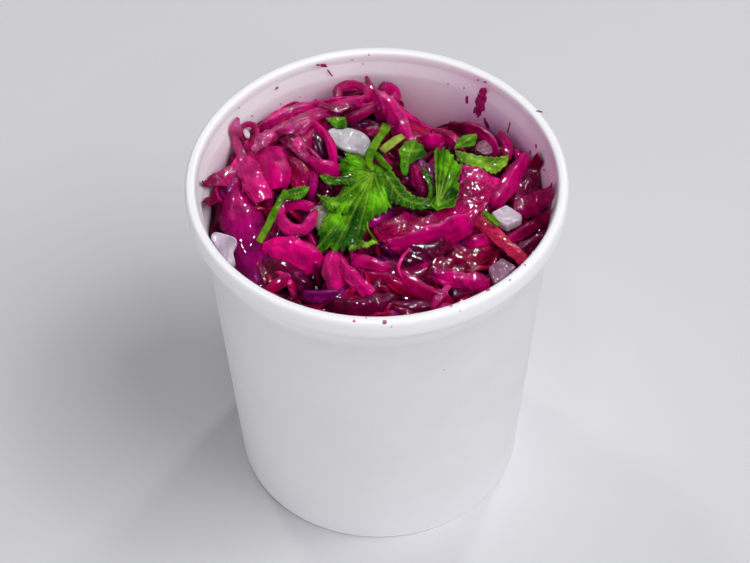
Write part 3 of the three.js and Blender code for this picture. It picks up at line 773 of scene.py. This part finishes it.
# %% Rows of shreds, right side
RIGHT_SHREDS = [
    ("magenta magenta", (17, 24, 20, 14), [(379, 93, 3), (385, 91, 4.4), (391, 94, 4.4), (395, 104, 3)],
     dict(curl=50, crinkle=0.2, free="start")),
    ("pink magenta", (14, 21, 24, 22), [(375, 95, 4.6), (386, 104, 5.6), (396, 120, 5.2), (404, 142, 2)],
     dict(free="start", curl=10, crinkle=0.15, fold=0.5, crease=-0.3, roll=-30)),
    # a near-black shred sunk in the hollow under the ridge: painted shade
    ("dark deep", (10, 12, 10), [(348, 128, -1.6), (364, 125, -1.4), (382, 129, -1.6)], dict(fold=0.3)),
    ("wine magenta", (8, 11, 10), [(343, 122, 1.4), (357, 115, 3.4), (373, 107, 3)], dict(fold=0.6)),
    ("red wine", (10, 13, 10), [(364, 133, -0.6), (374, 131, 0.6), (384, 136, -0.6)], dict(fold=0.3)),
    ("bright magenta", (16, 21, 17), [(424, 137, 3), (431, 139, 4.4), (442, 140, 2)],
     dict(curl=80, crinkle=0.1, free="start", thickness=1.6)),
    ("red magenta", (12, 15, 13), [(437, 132, 2.4), (447, 136, 3.4), (460, 145, 1.6)], dict(fold=0.5)),
    ("wine magenta", (11, 13, 13, 10), [(448, 127, 4), (468, 127, 5.6), (487, 137, 4.8), (496, 153, 2.4)],
     dict(fold=0.7, crease=-0.4, crinkle=0.15, free="start")),
    ("magenta wine", (6, 10, 11, 8), [(499, 132, 5), (505, 140, 5), (508, 151, 3.6), (504, 162, 2)],
     dict(fold=0.5, free="start")),
    ("plum ear", (12, 18, 12), [(416, 160, 2.6), (426, 171, 3.4), (436, 183, 2)],
     dict(crinkle=1.1, ruffle=1.0, waves=3, edge=1)),
    ("magenta wine", (10, 14, 10), [(412, 166, 2.8), (418, 180, 3.2), (423, 193, 2)], dict(fold=0.7)),
    ("magenta pink", (20, 27, 26, 20), [(455, 171, 2.4), (470, 178, 4.6), (485, 183, 4.2), (499, 187, 2)],
     dict(fold=0.4, crinkle=0.9, ruffle=0.6, edge=0.7)),
    ("red magenta", (20, 30, 30, 20), [(453, 206, 2), (464, 200, 4.2), (477, 192, 4.4), (490, 182, 2)],
     dict(fold=0.3, crinkle=1.0, ruffle=0.5, edge=0.5)),
    ("red magenta", (14, 24, 28, 28, 24, 14), [(390, 243, 1), (405, 233, 3.2), (428, 226, 5),
     (450, 217, 5.2), (472, 204, 4.4), (484, 194, 2)],
     dict(fold=0.3, crinkle=0.9, ruffle=0.5, roll=20, edge=0.6)),
    ("magenta bright", (17, 27, 30, 27, 15), [(395, 246, 1.6), (412, 245, 3.4), (436, 238, 4.8),
     (459, 229, 4.4), (477, 215, 2)], dict(fold=0.25, crinkle=0.12, roll=-40, edge=0.7, thickness=1.2)),
    ("dark wine", (13, 24, 24, 15), [(405, 262, 3), (419, 250, 4.8), (437, 244, 5), (451, 243, 3)],
     dict(free="both", curl=50, crinkle=1.2, ruffle=0.6, waves=4, edge=0.2)),
    ("pink pink", (3, 3, 3, 3), [(410, 248, 4), (401, 260, 4.4), (399, 271, 4), (407, 281, 2.4)],
     dict(thickness=0.7, crinkle=0.1, edge=1, fold=0)),
    ("wine red", (17, 23, 23, 17), [(430, 274, 1.6), (450, 264, 3.6), (474, 256, 3.2), (492, 246, 1)],
     dict(crinkle=1.1, ruffle=0.6, waves=4, edge=0.4)),
    ("magenta bright", (15, 20, 17, 20, 18), [(432, 272, 1.6), (447, 276, 4), (464, 280, 3.8),
     (478, 281, 3.6), (489, 281, 1.6)], dict(curl=70, crinkle=0.6, free="end", thickness=1.6, edge=0.6)),
    ("magenta red", (10, 16, 16, 12), [(398, 273, 3), (412, 284, 3.8), (430, 295, 3.2), (447, 301, 1)],
     dict(fold=0.7, crease=-0.3, crinkle=0.15)),
    ("pink magenta", (5, 8, 7), [(450, 284, 3.4), (440, 296, 3.8), (431, 309, 2)],
     dict(crinkle=0.9, edge=1, free="both")),
    ("bright magenta", (11, 14, 12), [(471, 244, 2.4), (481, 239, 3.8), (491, 237, 2)], dict(fold=0.6)),
    ("bright magenta", (15, 20, 20, 15), [(528, 156, 2.6), (518, 170, 4), (506, 187, 4.2), (495, 204, 2.4)],
     dict(free="start", fold=0.7, crease=0.3, crinkle=0.25)),
    ("wine dark", (14, 22, 16), [(535, 168, 1.6), (527, 184, 2.4), (517, 202, 1)], dict(fold=0.4)),
    ("wine magenta", (17, 24, 17), [(513, 208, 1.6), (528, 205, 3.2), (548, 195, 2)],
     dict(fold=0.6, crease=0.2)),
    ("magenta wine", (9, 12, 12, 9), [(507, 241, 2), (522, 232, 3.2), (538, 222, 3), (552, 212, 2)],
     dict(fold=0.8, crinkle=0.3)),
    ("dark wine", (10, 14, 12), [(509, 257, 0.4), (528, 246, 1.2), (547, 235, 0.4)], dict(fold=0.4)),
    ("pink magenta", (6, 8, 6), [(388, 242, 2.4), (395, 246, 3), (403, 251, 2)],
     dict(fold=0.7, crinkle=0.8, free="both")),
    ("red magenta", (15, 20, 17), [(375, 235, 1.6), (391, 229, 3.2), (408, 219, 1.6)],
     dict(fold=0.5, crinkle=1, edge=0.8)),
    ("magenta plum", (14, 18, 12), [(363, 222, 1), (375, 218, 1.6), (388, 213, 0.6)], dict(fold=0.5)),
    ("wine wine", (28, 34, 28), [(369, 282, -0.6), (400, 277, 1.2), (438, 271, -0.6)], dict(fold=0.3)),
    ("red magenta", (9, 12, 10), [(366, 274, 1), (384, 276, 2.4), (402, 283, 1.6)], dict(fold=0.7)),
    ("dark wine", (12, 16, 14), [(455, 298, 0.6), (474, 291, 1.6), (491, 279, 0.6)], dict(fold=0.5)),
    ("wine dark", (14, 18, 14), [(395, 306, 0.6), (418, 309, 1.6), (446, 306, 0.6)], dict(fold=0.5)),
]
print(len(RIGHT_SHREDS), "rows on the right")

# %% Ribbons from rows
PIXELS_PER_MM = 3.74
FACING = unit(np.array([0, -0.5, 0.87]))
PLAIN_SHRED = dict(curl=10, fold=0.45, crease=-0.2, crinkle=0.3, tip=0.95, ragged=0.2, thickness=0.8)
RUN_ON, BURIED, DIVE = 11, -3.4, 0.5  # pixels past the last point, then the lift there and at free ends
LIFT_SHARE = 0.75


def placed_shred(row, seed):
    """A ribbon along a route over the photo, its face turned part of the way to the camera."""
    colours, widths, route, extras = row
    first, last = colours.split()
    form = {**PLAIN_SHRED, **extras}
    free = form.pop("free", "")
    route, widths = np.array(route, float) * [1, 1, LIFT_SHARE], np.array(widths, float)
    for end, name in ((0, "start"), (-1, "end")):
        if free in (name, "both"):
            route[end, 2] -= DIVE
            continue
        ahead = route[end] - route[1 if end == 0 else -2]
        beyond = route[end] + RUN_ON * ahead / np.hypot(*ahead[:2])
        beyond[2] = min(route[end, 2], 0) + BURIED
        route = np.insert(route, 0 if end == 0 else len(route), beyond, axis=0)
        widths = np.insert(widths, 0 if end == 0 else len(widths), widths[end])
    return ribbon(spot(route[:, :2], route[:, 2]), widths / PIXELS_PER_MM, face=FACING, colour=first,
                  end_colour=last, steps=80, around=30, seed=seed, **form)


for name, rows in (("shreds_left", LEFT_SHREDS), ("shreds_right", RIGHT_SHREDS)):
    shreds = [placed_shred(row, 31 * i) for i, row in enumerate(rows)]
    add_piece(name, shreds, cabbage_skin, hubs=False)

beet_row = ("beet beet", (13, 13, 12), [(477, 218, 3.6), (499, 238, 5.4), (521, 258, 3)],
            dict(free="start", thickness=2.2, curl=30, fold=0.5, crinkle=0.5, edge=0.1))
add_piece("beet_strip", [placed_shred(beet_row, 900)], beet_skin, hubs=False)

# %% [markdown]
# ## Parsley and onion
# A parsley leaf is a thin blade whose lobes spread from a hub, so it is a fan of rings round that hub. Its
# outline is a reach for each angle, with small teeth on top, and veins run out to the tips of its lobes.
# An onion chip is the same fan with a thick, rounded edge. Both are closed solids.

# %% Fans and bands over the photo
LEAF_THICKNESS, STEM_THICKNESS = 0.35, 1.5
LEAF_SHARES = np.linspace(0.06, 0.99, 26)
LEAF_SECTION = np.array([(0.02, 0)] + [(s, 0) for s in LEAF_SHARES] + [(1, 0.5)]
                        + [(s, 1) for s in LEAF_SHARES[::-1]] + [(0.02, 1)])
CHIP_SECTION = np.array([(0.05, 0), (0.4, 0), (0.8, 0), (0.93, 0.03), (0.98, 0.12), (1, 0.3), (1, 0.7),
                         (0.98, 0.88), (0.93, 0.97), (0.85, 1), (0.7, 1), (0.5, 1), (0.3, 1), (0.05, 1)])
VEIN_WIDTH, VEIN_HOLLOW = 0.35, 1.6
BAND_TEETH = 9


def from_hub(hub, reaches):
    """Pixels at a reach and an angle, clockwise from the right, round a hub."""
    at, reach = np.array(reaches, float).T
    return np.array(hub) + np.stack([np.cos(np.radians(at)), np.sin(np.radians(at))], -1) * reach[:, None]


def fan(hub, outline, section, thickness, lift=2.0, tips=0.0, teeth=0.0, tooth=2.4, veins=(), relief=0.3,
        unevenness=0.3, soften=0, spokes=360, seed=0):
    """Rings round a hub in the photo, out to an outline of pixels. Each ring is a share of the way and of
    the thickness. It is lifted above the heap, more or less so towards the tips, by veins and by noise."""
    corners = np.array(outline, float)[::-1]
    corners = np.concatenate([corners, corners[:1]])
    walked = np.concatenate([[0], np.cumsum(np.hypot(*np.diff(corners, axis=0).T))])
    step = np.linspace(0, walked[-1], spokes, endpoint=False)
    edge = np.stack([np.interp(step, walked, corners[:, i]) for i in (0, 1)], -1) - hub
    for _ in range(soften):
        edge = (np.roll(edge, 1, axis=0) + edge + np.roll(edge, -1, axis=0)) / 3
    limit = np.hypot(*edge.T)
    out = teeth * zigzag(step / tooth) * np.clip(limit / 14 - 0.6, 0, 1)
    edge = edge * (1 + out / np.maximum(limit, 1))[:, None]
    angle = np.degrees(np.arctan2(edge[:, 1], edge[:, 0]))
    limit = np.hypot(*edge.T)
    share, level = section[:, :1], section[:, 1:]
    pixels = np.array(hub) + share[..., None] * edge
    nearest = np.full(angle.shape, 180.0)
    for vein in veins:
        nearest = np.minimum(nearest, np.abs((angle - vein + 180) % 360 - 180))
    off_vein = np.radians(nearest) * share * limit / PIXELS_PER_MM
    vein_line = np.exp(-((off_vein / VEIN_WIDTH) ** 2)) * np.clip(1.15 - share, 0, 1)
    hollow = relief * np.sin(np.minimum(off_vein / VEIN_HOLLOW, 1.6))
    height = lift + tips * share**2 + hollow - 0.5 * relief * vein_line
    flat = spot(pixels, 0)
    height = height + unevenness * noise(flat, 4, seed) + 0.4 * unevenness * noise(flat, 1.6, seed + 1)
    points = spot(pixels, height)
    points[..., 2] -= (1 - level) * thickness
    return keep_inside(points), vein_line


def band(upper, lower, lift, arch=0.25, teeth=0.0, steps=90, across=14, seed=0):
    """A strip of leaf ruled between two edges drawn over the photo, arched across, with toothed edges."""
    top, low = smooth_path(upper, steps), smooth_path(lower, steps)
    u = np.linspace(0, 1, steps + 1)
    jag = zigzag(u * BAND_TEETH + 0.3 * np.sin(BAND_TEETH * u))[:, None] * unit(low - top)
    top, low = top - 0.8 * teeth * jag, low + teeth * jag
    v = np.linspace(0, 1, across)[:, None]
    pixels = low[:, None] + (top - low)[:, None] * v
    flat = spot(pixels, 0)
    height = read_along(lift, u)[:, None] + arch * (1 - (2 * v[:, 0] - 1) ** 2)
    height = height + 0.5 * noise(flat, 3, seed) + 0.25 * noise(flat, 1.3, seed + 1)
    upper_side = spot(pixels, height)
    lower_side = upper_side[:, ::-1] - [0, 0, LEAF_THICKNESS]
    return keep_inside(np.concatenate([upper_side, lower_side], axis=1))


print("a leaf has", len(LEAF_SECTION), "rings and an onion chip", len(CHIP_SECTION))

# %% Leaf, stem and onion materials
LEAF_GREEN, LEAF_DARK, LEAF_PALE = linear(98, 172, 18), linear(20, 78, 8), linear(170, 204, 70)
LEAF_SLICE, LEAF_SHADED, LEAF_LOOSE = linear(132, 180, 40), linear(32, 88, 10), linear(86, 150, 14)
STEM_GREEN, STEM_PALE, STEM_BLANCHED = linear(58, 112, 4), linear(132, 170, 30), linear(176, 184, 78)
GREEN_SHINE = dict(Specular_IOR_Level=0.03, Specular_Tint=(0.6, 1, 0.1, 1))
leaf_skin = food_material("parsley_leaf", 420, 0.55, 1.4, 700, 2400, 0.0006, gloss=(0.3, 0.5),
                          Coat_Weight=0.05, Coat_Roughness=0.03, **GREEN_SHINE)
stem_skin = food_material("parsley_stem", 500, 0.7, 1.25, 900, 2600, 0.0003, gloss=(0.25, 0.4),
                          Coat_Weight=0.04, Coat_Roughness=0.04, **GREEN_SHINE)
onion_flesh = food_material("onion_flesh", 240, 0.86, 1.08, 500, 1800, 0.0002, gloss=(0.2, 0.35),
                            Subsurface_Weight=0.6, Subsurface_Radius=(0.004, 0.003, 0.004),
                            Specular_IOR_Level=0.1, Coat_Weight=0.05, Coat_Roughness=0.08)


def leaf_colour(points, vein_line, seed, base):
    """Dark to mid green by noise, paler along the veins, and on the bands also along a painted highlight."""
    t = np.clip(0.48 + noise(points, 5, seed) + 0.5 * noise(points, 1.5, seed + 1), 0, 1)
    return blend(blend(LEAF_DARK, base, t), LEAF_PALE, 0.5 * vein_line)


print("materials:", leaf_skin.name, stem_skin.name, onion_flesh.name)

# %% Leaves
LEAF_A = [  # angle in the photo, clockwise from the right, and reach in pixels
    (20, 17), (40, 24), (52, 30), (59, 35), (65, 39), (75, 42), (82, 43), (89, 45), (95, 48), (98, 60),
    (101, 72), (105, 79), (108, 82), (110, 78), (112, 87), (114, 82), (117, 93), (120, 85), (124, 98),
    (127, 96), (129, 86), (132, 84), (135, 73), (138, 63), (141, 54), (145, 44), (150, 38), (157, 31),
    (165, 28), (172, 30), (178, 33), (184, 37), (190, 40), (195, 36), (201, 38), (206, 31), (211, 34),
    (219, 33), (225, 27), (230, 26), (235, 20), (242, 15), (270, 10), (320, 10), (350, 13),
]
LEAF_B = [(1, 17), (9, 8), (90, 4), (180, 5), (210, 8), (250, 9), (266, 12), (267, 56), (269, 59), (273, 56),
          (277, 60), (281, 57), (287, 54), (293, 48), (301, 49), (305, 41), (308, 33), (321, 29), (338, 22)]
LEAF_BACK = [(3, 17), (19, 15), (50, 10), (91, 12), (95, 21), (100, 24), (111, 23), (125, 17), (148, 11),
             (191, 12), (225, 10), (244, 12), (270, 11), (297, 14), (315, 12), (331, 15), (345, 14)]
LEAF_SMALL = [(5, 10), (25, 9), (60, 6), (110, 6), (148, 14), (170, 10), (200, 8), (240, 6), (290, 7),
              (325, 13), (340, 12), (352, 10)]
LEAF_FAR = [(20, 11), (45, 9), (100, 6), (160, 6), (200, 12), (240, 6), (300, 6), (330, 10)]
LOOSE_LEAF = dict(teeth=1.2, spokes=240, seed=70)
LEAVES = [  # name, node, hub, outline, veins, base colour, what differs from a loose leaf
    ("sprig_broad_leaf", "sprig", (374, 172), LEAF_A, (72, 104, 117, 126, 143, 157, 175, 195, 220),
     LEAF_GREEN, dict(lift=4.2, tips=-2.2, teeth=4, tooth=7.5, relief=0.8, unevenness=0.9, spokes=720,
                      seed=50)),
    ("sprig_upright_leaf", "sprig", (437, 206), LEAF_B, (269, 277, 286, 300, 335), LEAF_GREEN,
     dict(lift=3.6, tips=3.0, teeth=3, tooth=7, relief=0.6, unevenness=0.5, spokes=540, seed=60)),
    ("leaf_behind", "leaf_back", (410, 152), LEAF_BACK, (100, 200, 250, 300, 350), LEAF_LOOSE,
     dict(lift=2.6, tips=0.6)),
    ("leaf_little", "leaf_small", (466, 141), LEAF_SMALL, (150, 330), LEAF_LOOSE, dict(lift=3.6, tips=0.4)),
    ("leaf_at_back", "leaf_far", (337, 122), LEAF_FAR, (190, 330), LEAF_LOOSE, dict(lift=4.2)),
]
for name, node, hub, reaches, veins, base, extras in LEAVES:
    form = {**LOOSE_LEAF, **extras}
    points, vein_line = fan(hub, from_hub(hub, reaches), LEAF_SECTION, LEAF_THICKNESS, veins=veins, **form)
    colour = leaf_colour(points, vein_line, form["seed"] + 1, base)
    add_piece(name, [(points, colour)], leaf_skin, node)

# %% Leaf bands
VEIN_SHARE = 0.12
SIDE_VEINS = 7
BANDS = [  # name, node, upper edge, lower edge, lift, teeth, base colour
    ("sprig_finger_upper", "sprig", [(319.5, 175), (326, 174), (334, 177), (344, 176), (354, 172)],
     [(320, 177), (326, 183), (336, 184.5), (344, 184), (352, 186)], (3.6, 3.4, 4.0), 0.5, LEAF_GREEN),
    ("sprig_finger_lower", "sprig", [(317, 193.5), (326, 196.5), (334, 197), (343, 194), (352, 188)],
     [(317, 195), (322, 203), (329, 210), (338, 214), (348, 214)], (3.0, 3.2, 4.0), 1.2, LEAF_GREEN),
    ("sprig_leaf_band", "sprig", [(389, 167), (399, 180), (407, 190), (415, 196), (424, 198), (436, 201)],
     [(380, 178), (386, 190), (393, 201), (403, 206), (416, 209), (438, 208)],
     (4.6, 4, 3.2), 1.8, LEAF_SHADED),
    ("stem_left_leaf", "stem_left", [(285, 191), (291, 189), (298, 187), (304, 186), (309, 187)],
     [(286, 198), (292, 199), (298, 199), (304, 196), (308, 191)], (4.4, 4, 3.2), 1.6, LEAF_GREEN),
    ("sprig_frill", "sprig", [(350, 245), (355, 243.5), (361, 240), (367, 242), (373, 239), (377, 241)],
     [(349, 250), (355, 249.5), (361, 247), (367, 247.5), (373, 244), (377, 243)],
     (2.8, 3.4, 2.6), 1.6, LEAF_SLICE),
    ("leaf_narrow", "leaf_blade", [(421.5, 165), (429, 173), (434, 184), (434, 194), (432, 202)],
     [(421, 166), (424, 176), (428, 186), (428, 194), (424, 203)], (4.8, 3.6, 3), 0.2, STEM_GREEN),
    ("leaf_cut_strip", "leaf_slice", [(455, 150), (468, 153), (482, 156), (496, 157), (509, 155)],
     [(457, 160), (469, 165), (482, 168), (495, 173), (507, 164)], (3.4, 4, 3), 1.6, LEAF_SLICE),
]
for name, node, upper, lower, lift, teeth, base in BANDS:
    points = band(upper, lower, lift, teeth=teeth, seed=80)
    u = np.linspace(0, 1, points.shape[0])[:, None]
    v = np.abs(np.linspace(-1, 1, points.shape[1] // 2))
    # the pale line along each band's upper edge is a painted highlight; the pale veins are the leaf's own
    upper_edge_highlight = np.clip(np.linspace(-10, 1, len(v)), 0, 1)
    v, upper_edge_highlight = (np.concatenate([side, side[::-1]]) for side in (v, upper_edge_highlight))
    side_veins = np.exp(-((((SIDE_VEINS * u - 0.9 * v) % 1 - 0.5) / VEIN_SHARE) ** 2))
    pale = np.clip(0.6 * np.exp(-((v / VEIN_SHARE) ** 2)) + 0.4 * side_veins + upper_edge_highlight, 0, 1)
    add_piece(name, [(points, leaf_colour(points, pale, 81, base))], leaf_skin, node, hubs=False)

# %% Stems
STEMS = [  # name, node, widths, route
    ("sprig_stem", "sprig", (10, 9, 9, 8, 4), [(387, 125, 5), (380, 137, 5.4), (372, 150, 5.4),
     (369, 160, 5), (373, 171, 4.4)]),
    ("sprig_stem_fork", "sprig", (4, 6, 6, 4), [(371, 151, 5.6), (377, 155, 5.6), (384, 163, 5.2),
     (391, 170, 4.6)]),
    ("sprig_strand", "sprig", (1.6, 1.4, 1.6), [(367, 217, 2.6), (367.7, 228, 3), (372.3, 236, 3),
     (377, 242, 2.4)]),
    ("stem_at_left", "stem_left", (6, 7, 7, 6), [(259, 242, 5), (267, 227, 5), (277, 207, 5),
     (286, 191, 4.4)]),
    ("stem_piece_pale", "stem_pale", (7, 8, 7), [(382, 151, 3.4), (392, 143, 4), (403, 136, 3.6)]),
    ("stem_piece_right", "stem_bit", (5, 6, 5), [(483, 212, 6.4), (490, 218, 6.6), (499, 225, 6)]),
]
STEM_SPOKES = 24
for name, node, widths, route in STEMS:
    route = np.array(route, float)
    body, _ = ribbon(spot(route[:, :2], route[:, 2]), np.array(widths) / PIXELS_PER_MM,
                     thickness=STEM_THICKNESS, face=FACING, tip=0.95, crinkle=0.08, steps=60,
                     around=STEM_SPOKES, seed=len(name))
    pale, paler = (STEM_BLANCHED, 0.9) if name == "stem_piece_pale" else (STEM_PALE, 0)
    rib = np.abs(section(STEM_SPOKES)[0]) ** 6 + paler
    t = np.clip(0.2 + 0.7 * noise(body, 2.4, 90) + 0.5 * rib, 0, 1)
    add_piece(name, [(body, blend(STEM_GREEN, pale, t))], stem_skin, node, hubs=False)

# %% Onion
THICK_CHIP = 2
ONIONS = [  # name, node, hub, outline of pixels, lift, thickness, tints
    ("onion_at_back", "onion_back", (349, 139), [(325, 130), (334, 126.5), (350, 127), (364, 132),
     (372, 140), (371, 150), (366, 156), (358, 151), (347, 150), (335, 144)], 4.0, 1.2, ((202, 198, 203),
     (150, 132, 148))),
    ("onion_at_right", "onion_right", (507, 214), [(491, 212), (506, 204), (522, 214), (522, 219),
     (507, 226), (498, 221)], 4.6, 2.6, ((200, 182, 198), (176, 138, 168))),
    ("onion_at_front", "onion_front", (502, 268), [(488, 267), (502, 257), (517, 266), (507, 276),
     (495, 284)], 1.6, 2.2, ((182, 132, 162), (132, 84, 118))),
    ("onion_at_left", "onion_left", (224, 246), [(209, 236), (214, 230), (237, 237), (238, 242), (232, 251),
     (236, 261), (235, 267), (226, 262)], 4.6, 1.6, ((202, 188, 205), (122, 84, 114))),
    ("onion_in_middle", "onion_mid", (322, 216), [(309, 209), (318, 204), (335, 205), (340, 212), (336, 222),
     (330, 231), (320, 233), (313, 222)], 1.4, 1.2, ((152, 154, 122), (100, 98, 72))),
    ("onion_crumb", None, (246, 132), [(241.5, 128.5), (244.5, 127), (250, 132.5), (249.5, 137),
     (245, 136)], 4.4, 0.8, ((236, 214, 228), (196, 150, 180))),
    ("onion_slice_far", None, (484, 147), [(475, 149), (477, 142), (484, 139), (491, 143), (493, 152),
     (484, 154)], 3.0, 0.8, ((156, 104, 126), (110, 58, 84))),
]
for name, node, hub, corners, lift, thickness, (light, shaded) in ONIONS:
    points, _ = fan(hub, corners, CHIP_SECTION, thickness, lift=lift, relief=0,
                    soften=12 if thickness > THICK_CHIP else 50, spokes=180, seed=95)
    layers = noise(points * [1, 0.15, 0.15], 0.7, 97)
    t = np.clip(0.3 + 0.6 * noise(points, 5, 96) + 0.35 * layers + 0.5 * (1 - CHIP_SECTION[:, 1:]), 0, 1)
    colour = blend(linear(*light), linear(*shaded), t)
    add_piece(name, [(points, colour)], onion_flesh, node)

# %% [markdown]
# ## Splashes
# Filling the cup has left drops and smears of juice on its inside, its rim and its front. Each is a low
# closed dome with an uneven outline, laid where its ray meets the paper.

# %% Splashes
SPLASHES = {  # by surface: x, y, half width, half height, turn in degrees
    "inside": [
        (480.5, 103, 5.4, 12.5, 8), (483, 92, 4, 4, 0), (477, 110, 3, 5, 20), (486.5, 124, 1.8, 8, -22),
        (490, 131, 1.4, 3, -20), (467, 100, 1.6, 4, 0), (485, 82, 1.8, 1, 0), (478, 80, 0.9, 0.9, 0),
        (464, 88, 0.7, 1.2, 0), (509, 127, 0.8, 6, 14), (536, 146, 1.1, 2.6, 0), (530, 152, 1, 2, 0),
        (533, 162, 1.4, 4, 8), (544, 170, 1, 1.6, 0), (538, 156, 0.7, 1, 0), (323.5, 65.5, 4.6, 1.8, 10),
        (330, 73, 0.8, 4, -40), (318, 65, 2, 1, 0), (277, 88, 2, 1.1, -35), (281, 104, 1, 0.7, 0),
        (239, 108, 1, 0.7, 0), (252, 116, 0.8, 0.8, 0), (352, 60, 0.8, 0.8, 0), (369, 55, 0.9, 0.7, 0),
        (363, 64, 0.7, 0.7, 0), (300, 97, 0.7, 0.7, 0), (448, 84, 0.8, 0.8, 0)],
    "rim": [
        (539, 111.5, 3.8, 0.9, 8), (354.5, 321, 1.9, 1.5, 0), (384.5, 322, 2.6, 1.9, 0),
        (366, 318, 0.7, 0.7, 0), (391.5, 327, 0.9, 0.7, 0), (488, 290, 2.6, 1.6, -30),
        (451, 306, 1.8, 1, -20), (525, 265, 0.9, 0.9, 0), (510, 280, 0.8, 0.8, 0), (460, 311, 0.6, 0.6, 0)],
    "side": [(444, 370, 0.7, 0.7, 0)],
}
SPLASH_RISE, SPLASH_SPOKES = 0.22, 32
SPLASH_SECTION = np.array([(0.1, -0.3), (0.6, -0.3), (1, -0.3), (0.96, 0.28), (0.85, 0.53), (0.65, 0.76),
                           (0.4, 0.92), (0.1, 1)])
THIN_JUICE, THICK_JUICE, THIN_SIZE = linear(190, 80, 144), linear(164, 24, 98), 3
RIM_SEARCH, RIM_STEPS = 70, 2800


def rim_distance(direction):
    """How far along each ray the rolled rim is: the first of many steps that lies inside its section."""
    steps = np.linspace(-RIM_SEARCH, RIM_SEARCH, RIM_STEPS)
    middle = (direction @ (np.array([0, 0, CUP_HEIGHT]) - eye))[..., None]
    at = eye + (middle + steps)[..., None] * direction[..., None, :]
    out = (np.hypot(at[..., 0], at[..., 1]) - RIM_RADIUS) / (ROLL_WIDTH / 2) + 1
    up = (at[..., 2] - CUP_HEIGHT) / (ROLL_HEIGHT / 2) + 1
    depth = np.abs(out) ** RIM_BULGE + np.abs(up) ** RIM_BULGE
    # a ray that just misses keeps its closest step
    nearest = np.maximum(depth.min(axis=-1, keepdims=True), 1)
    return middle[..., 0] + steps[np.argmax(depth <= nearest, axis=-1)]


def splash(surface, x, y, half_width, half_height, turn_by, seed):
    """A dome over an uneven oval of pixels: rings out along the paper, then back in over the rise."""
    around = -np.linspace(0, 2 * math.pi, SPLASH_SPOKES, endpoint=False)
    oval = np.stack([half_width * np.cos(around), half_height * np.sin(around)], -1)
    oval = oval @ turn(2, math.radians(turn_by))[:2, :2].T
    wobble = 1 + 0.35 * noise(np.column_stack([oval, np.full(SPLASH_SPOKES, seed)]), 2.2, seed)
    share, rise = SPLASH_SECTION.T[..., None]
    direction = rays(np.array([x, y]) + share[..., None] * (oval * wobble[:, None]))
    if surface == "rim":
        distance = rim_distance(direction)
    else:
        distance = wall_distance(direction, 0 if surface == "inside" else -BOARD, near=surface == "side")
    return eye + (distance - rise * SPLASH_RISE)[..., None] * direction


juice_skin = food_material("juice", 900, 0.5, 1.5, 900, 2400, 0.0002, Specular_IOR_Level=0.2, Coat_Weight=0.3,
                           Coat_Roughness=0.05)
drops = []
for surface, *shape in [(surface, *shape) for surface, shapes in SPLASHES.items() for shape in shapes]:
    points = splash(surface, *shape, len(drops))
    juice_colour = THIN_JUICE if shape[2] * shape[3] < THIN_SIZE else THICK_JUICE
    drops.append((points, juice_colour * np.ones_like(points)))
add_piece("juice_splashes", drops, juice_skin)

# %% [markdown]
# ## Floor and light
# Suns give the even light of large windows: a soft key from the right that throws the cup's shadow to the
# left, and a fill from the left that leaves the floor out. Small lamps give only the glints on wet food,
# and the pale sky isn't mirrored in it. The floor is plain and pale.

# %% Stage
FLOOR_SPAN = 2.5
floor_material, _ = blank_material("pale_floor", Roughness=0.7, Base_Color=(0.64, 0.635, 0.67, 1))
floor_mesh = bpy.data.meshes.new("floor")
floor_mesh.from_pydata([(x * FLOOR_SPAN, y * FLOOR_SPAN, 0) for x, y in ((-1, -1), (1, -1), (1, 1), (-1, 1))],
                       [], [(0, 1, 2, 3)])
floor_mesh.materials.append(floor_material)
floor = bpy.data.objects.new("floor", floor_mesh)
bpy.context.scene.collection.objects.link(floor)


def lamp_from(name, kind, place, power, **settings):
    """A lamp at a place in metres, facing the cup. Suns light surfaces and area lamps only glint on them."""
    data = bpy.data.lights.new(name, kind)
    data.energy = power
    for setting, value in settings.items():
        setattr(data, setting, value)
    away = unit(np.array(place) - [0, 0, 0.05])
    side = unit(np.cross([0, 0, 1], away))
    lamp = placed(data, [side, np.cross(away, side), away], place)
    lamp.visible_glossy, lamp.visible_diffuse = kind == "AREA", kind != "AREA"
    return lamp


lamp_from("key", "SUN", (0.54, -0.2, 0.87), 1.85, angle=math.radians(44))
lamp_from("key_soft", "SUN", (0.54, -0.3, 0.8), 0.25, angle=math.radians(90))
fill = lamp_from("fill", "SUN", (-0.4, -0.7, 0.5), 1.3, angle=math.radians(90))
for name, place, power, size in (("right", (0.45, 0.8, 1.0), 30, 0.12), ("left", (-0.45, 0.6, 1.1), 26, 0.12),
                                 ("high", (0.5, -0.1, 1.1), 26, 0.12), ("near", (-0.1, -0.35, 1.3), 24, 0.11),
                                 ("front", (0.35, -0.9, 0.95), 18, 0.1)):
    lamp_from("glint_" + name, "AREA", place, power, size=size)
unfilled = bpy.data.collections.new("unfilled")
unfilled.objects.link(floor)
unfilled.collection_objects[0].light_linking.link_state = "EXCLUDE"
fill.light_linking.receiver_collection = unfilled
world = bpy.data.worlds.new("pale_sky")
world.use_nodes = True
world.node_tree.nodes["Background"].inputs["Color"].default_value = (0.92, 0.94, 1, 1)
world.node_tree.nodes["Background"].inputs["Strength"].default_value = 0.17
world.cycles_visibility.glossy = False
bpy.context.scene.world = world
bpy.context.scene.view_settings.view_transform = "Standard"
print(len(bpy.data.lights), "lamps")
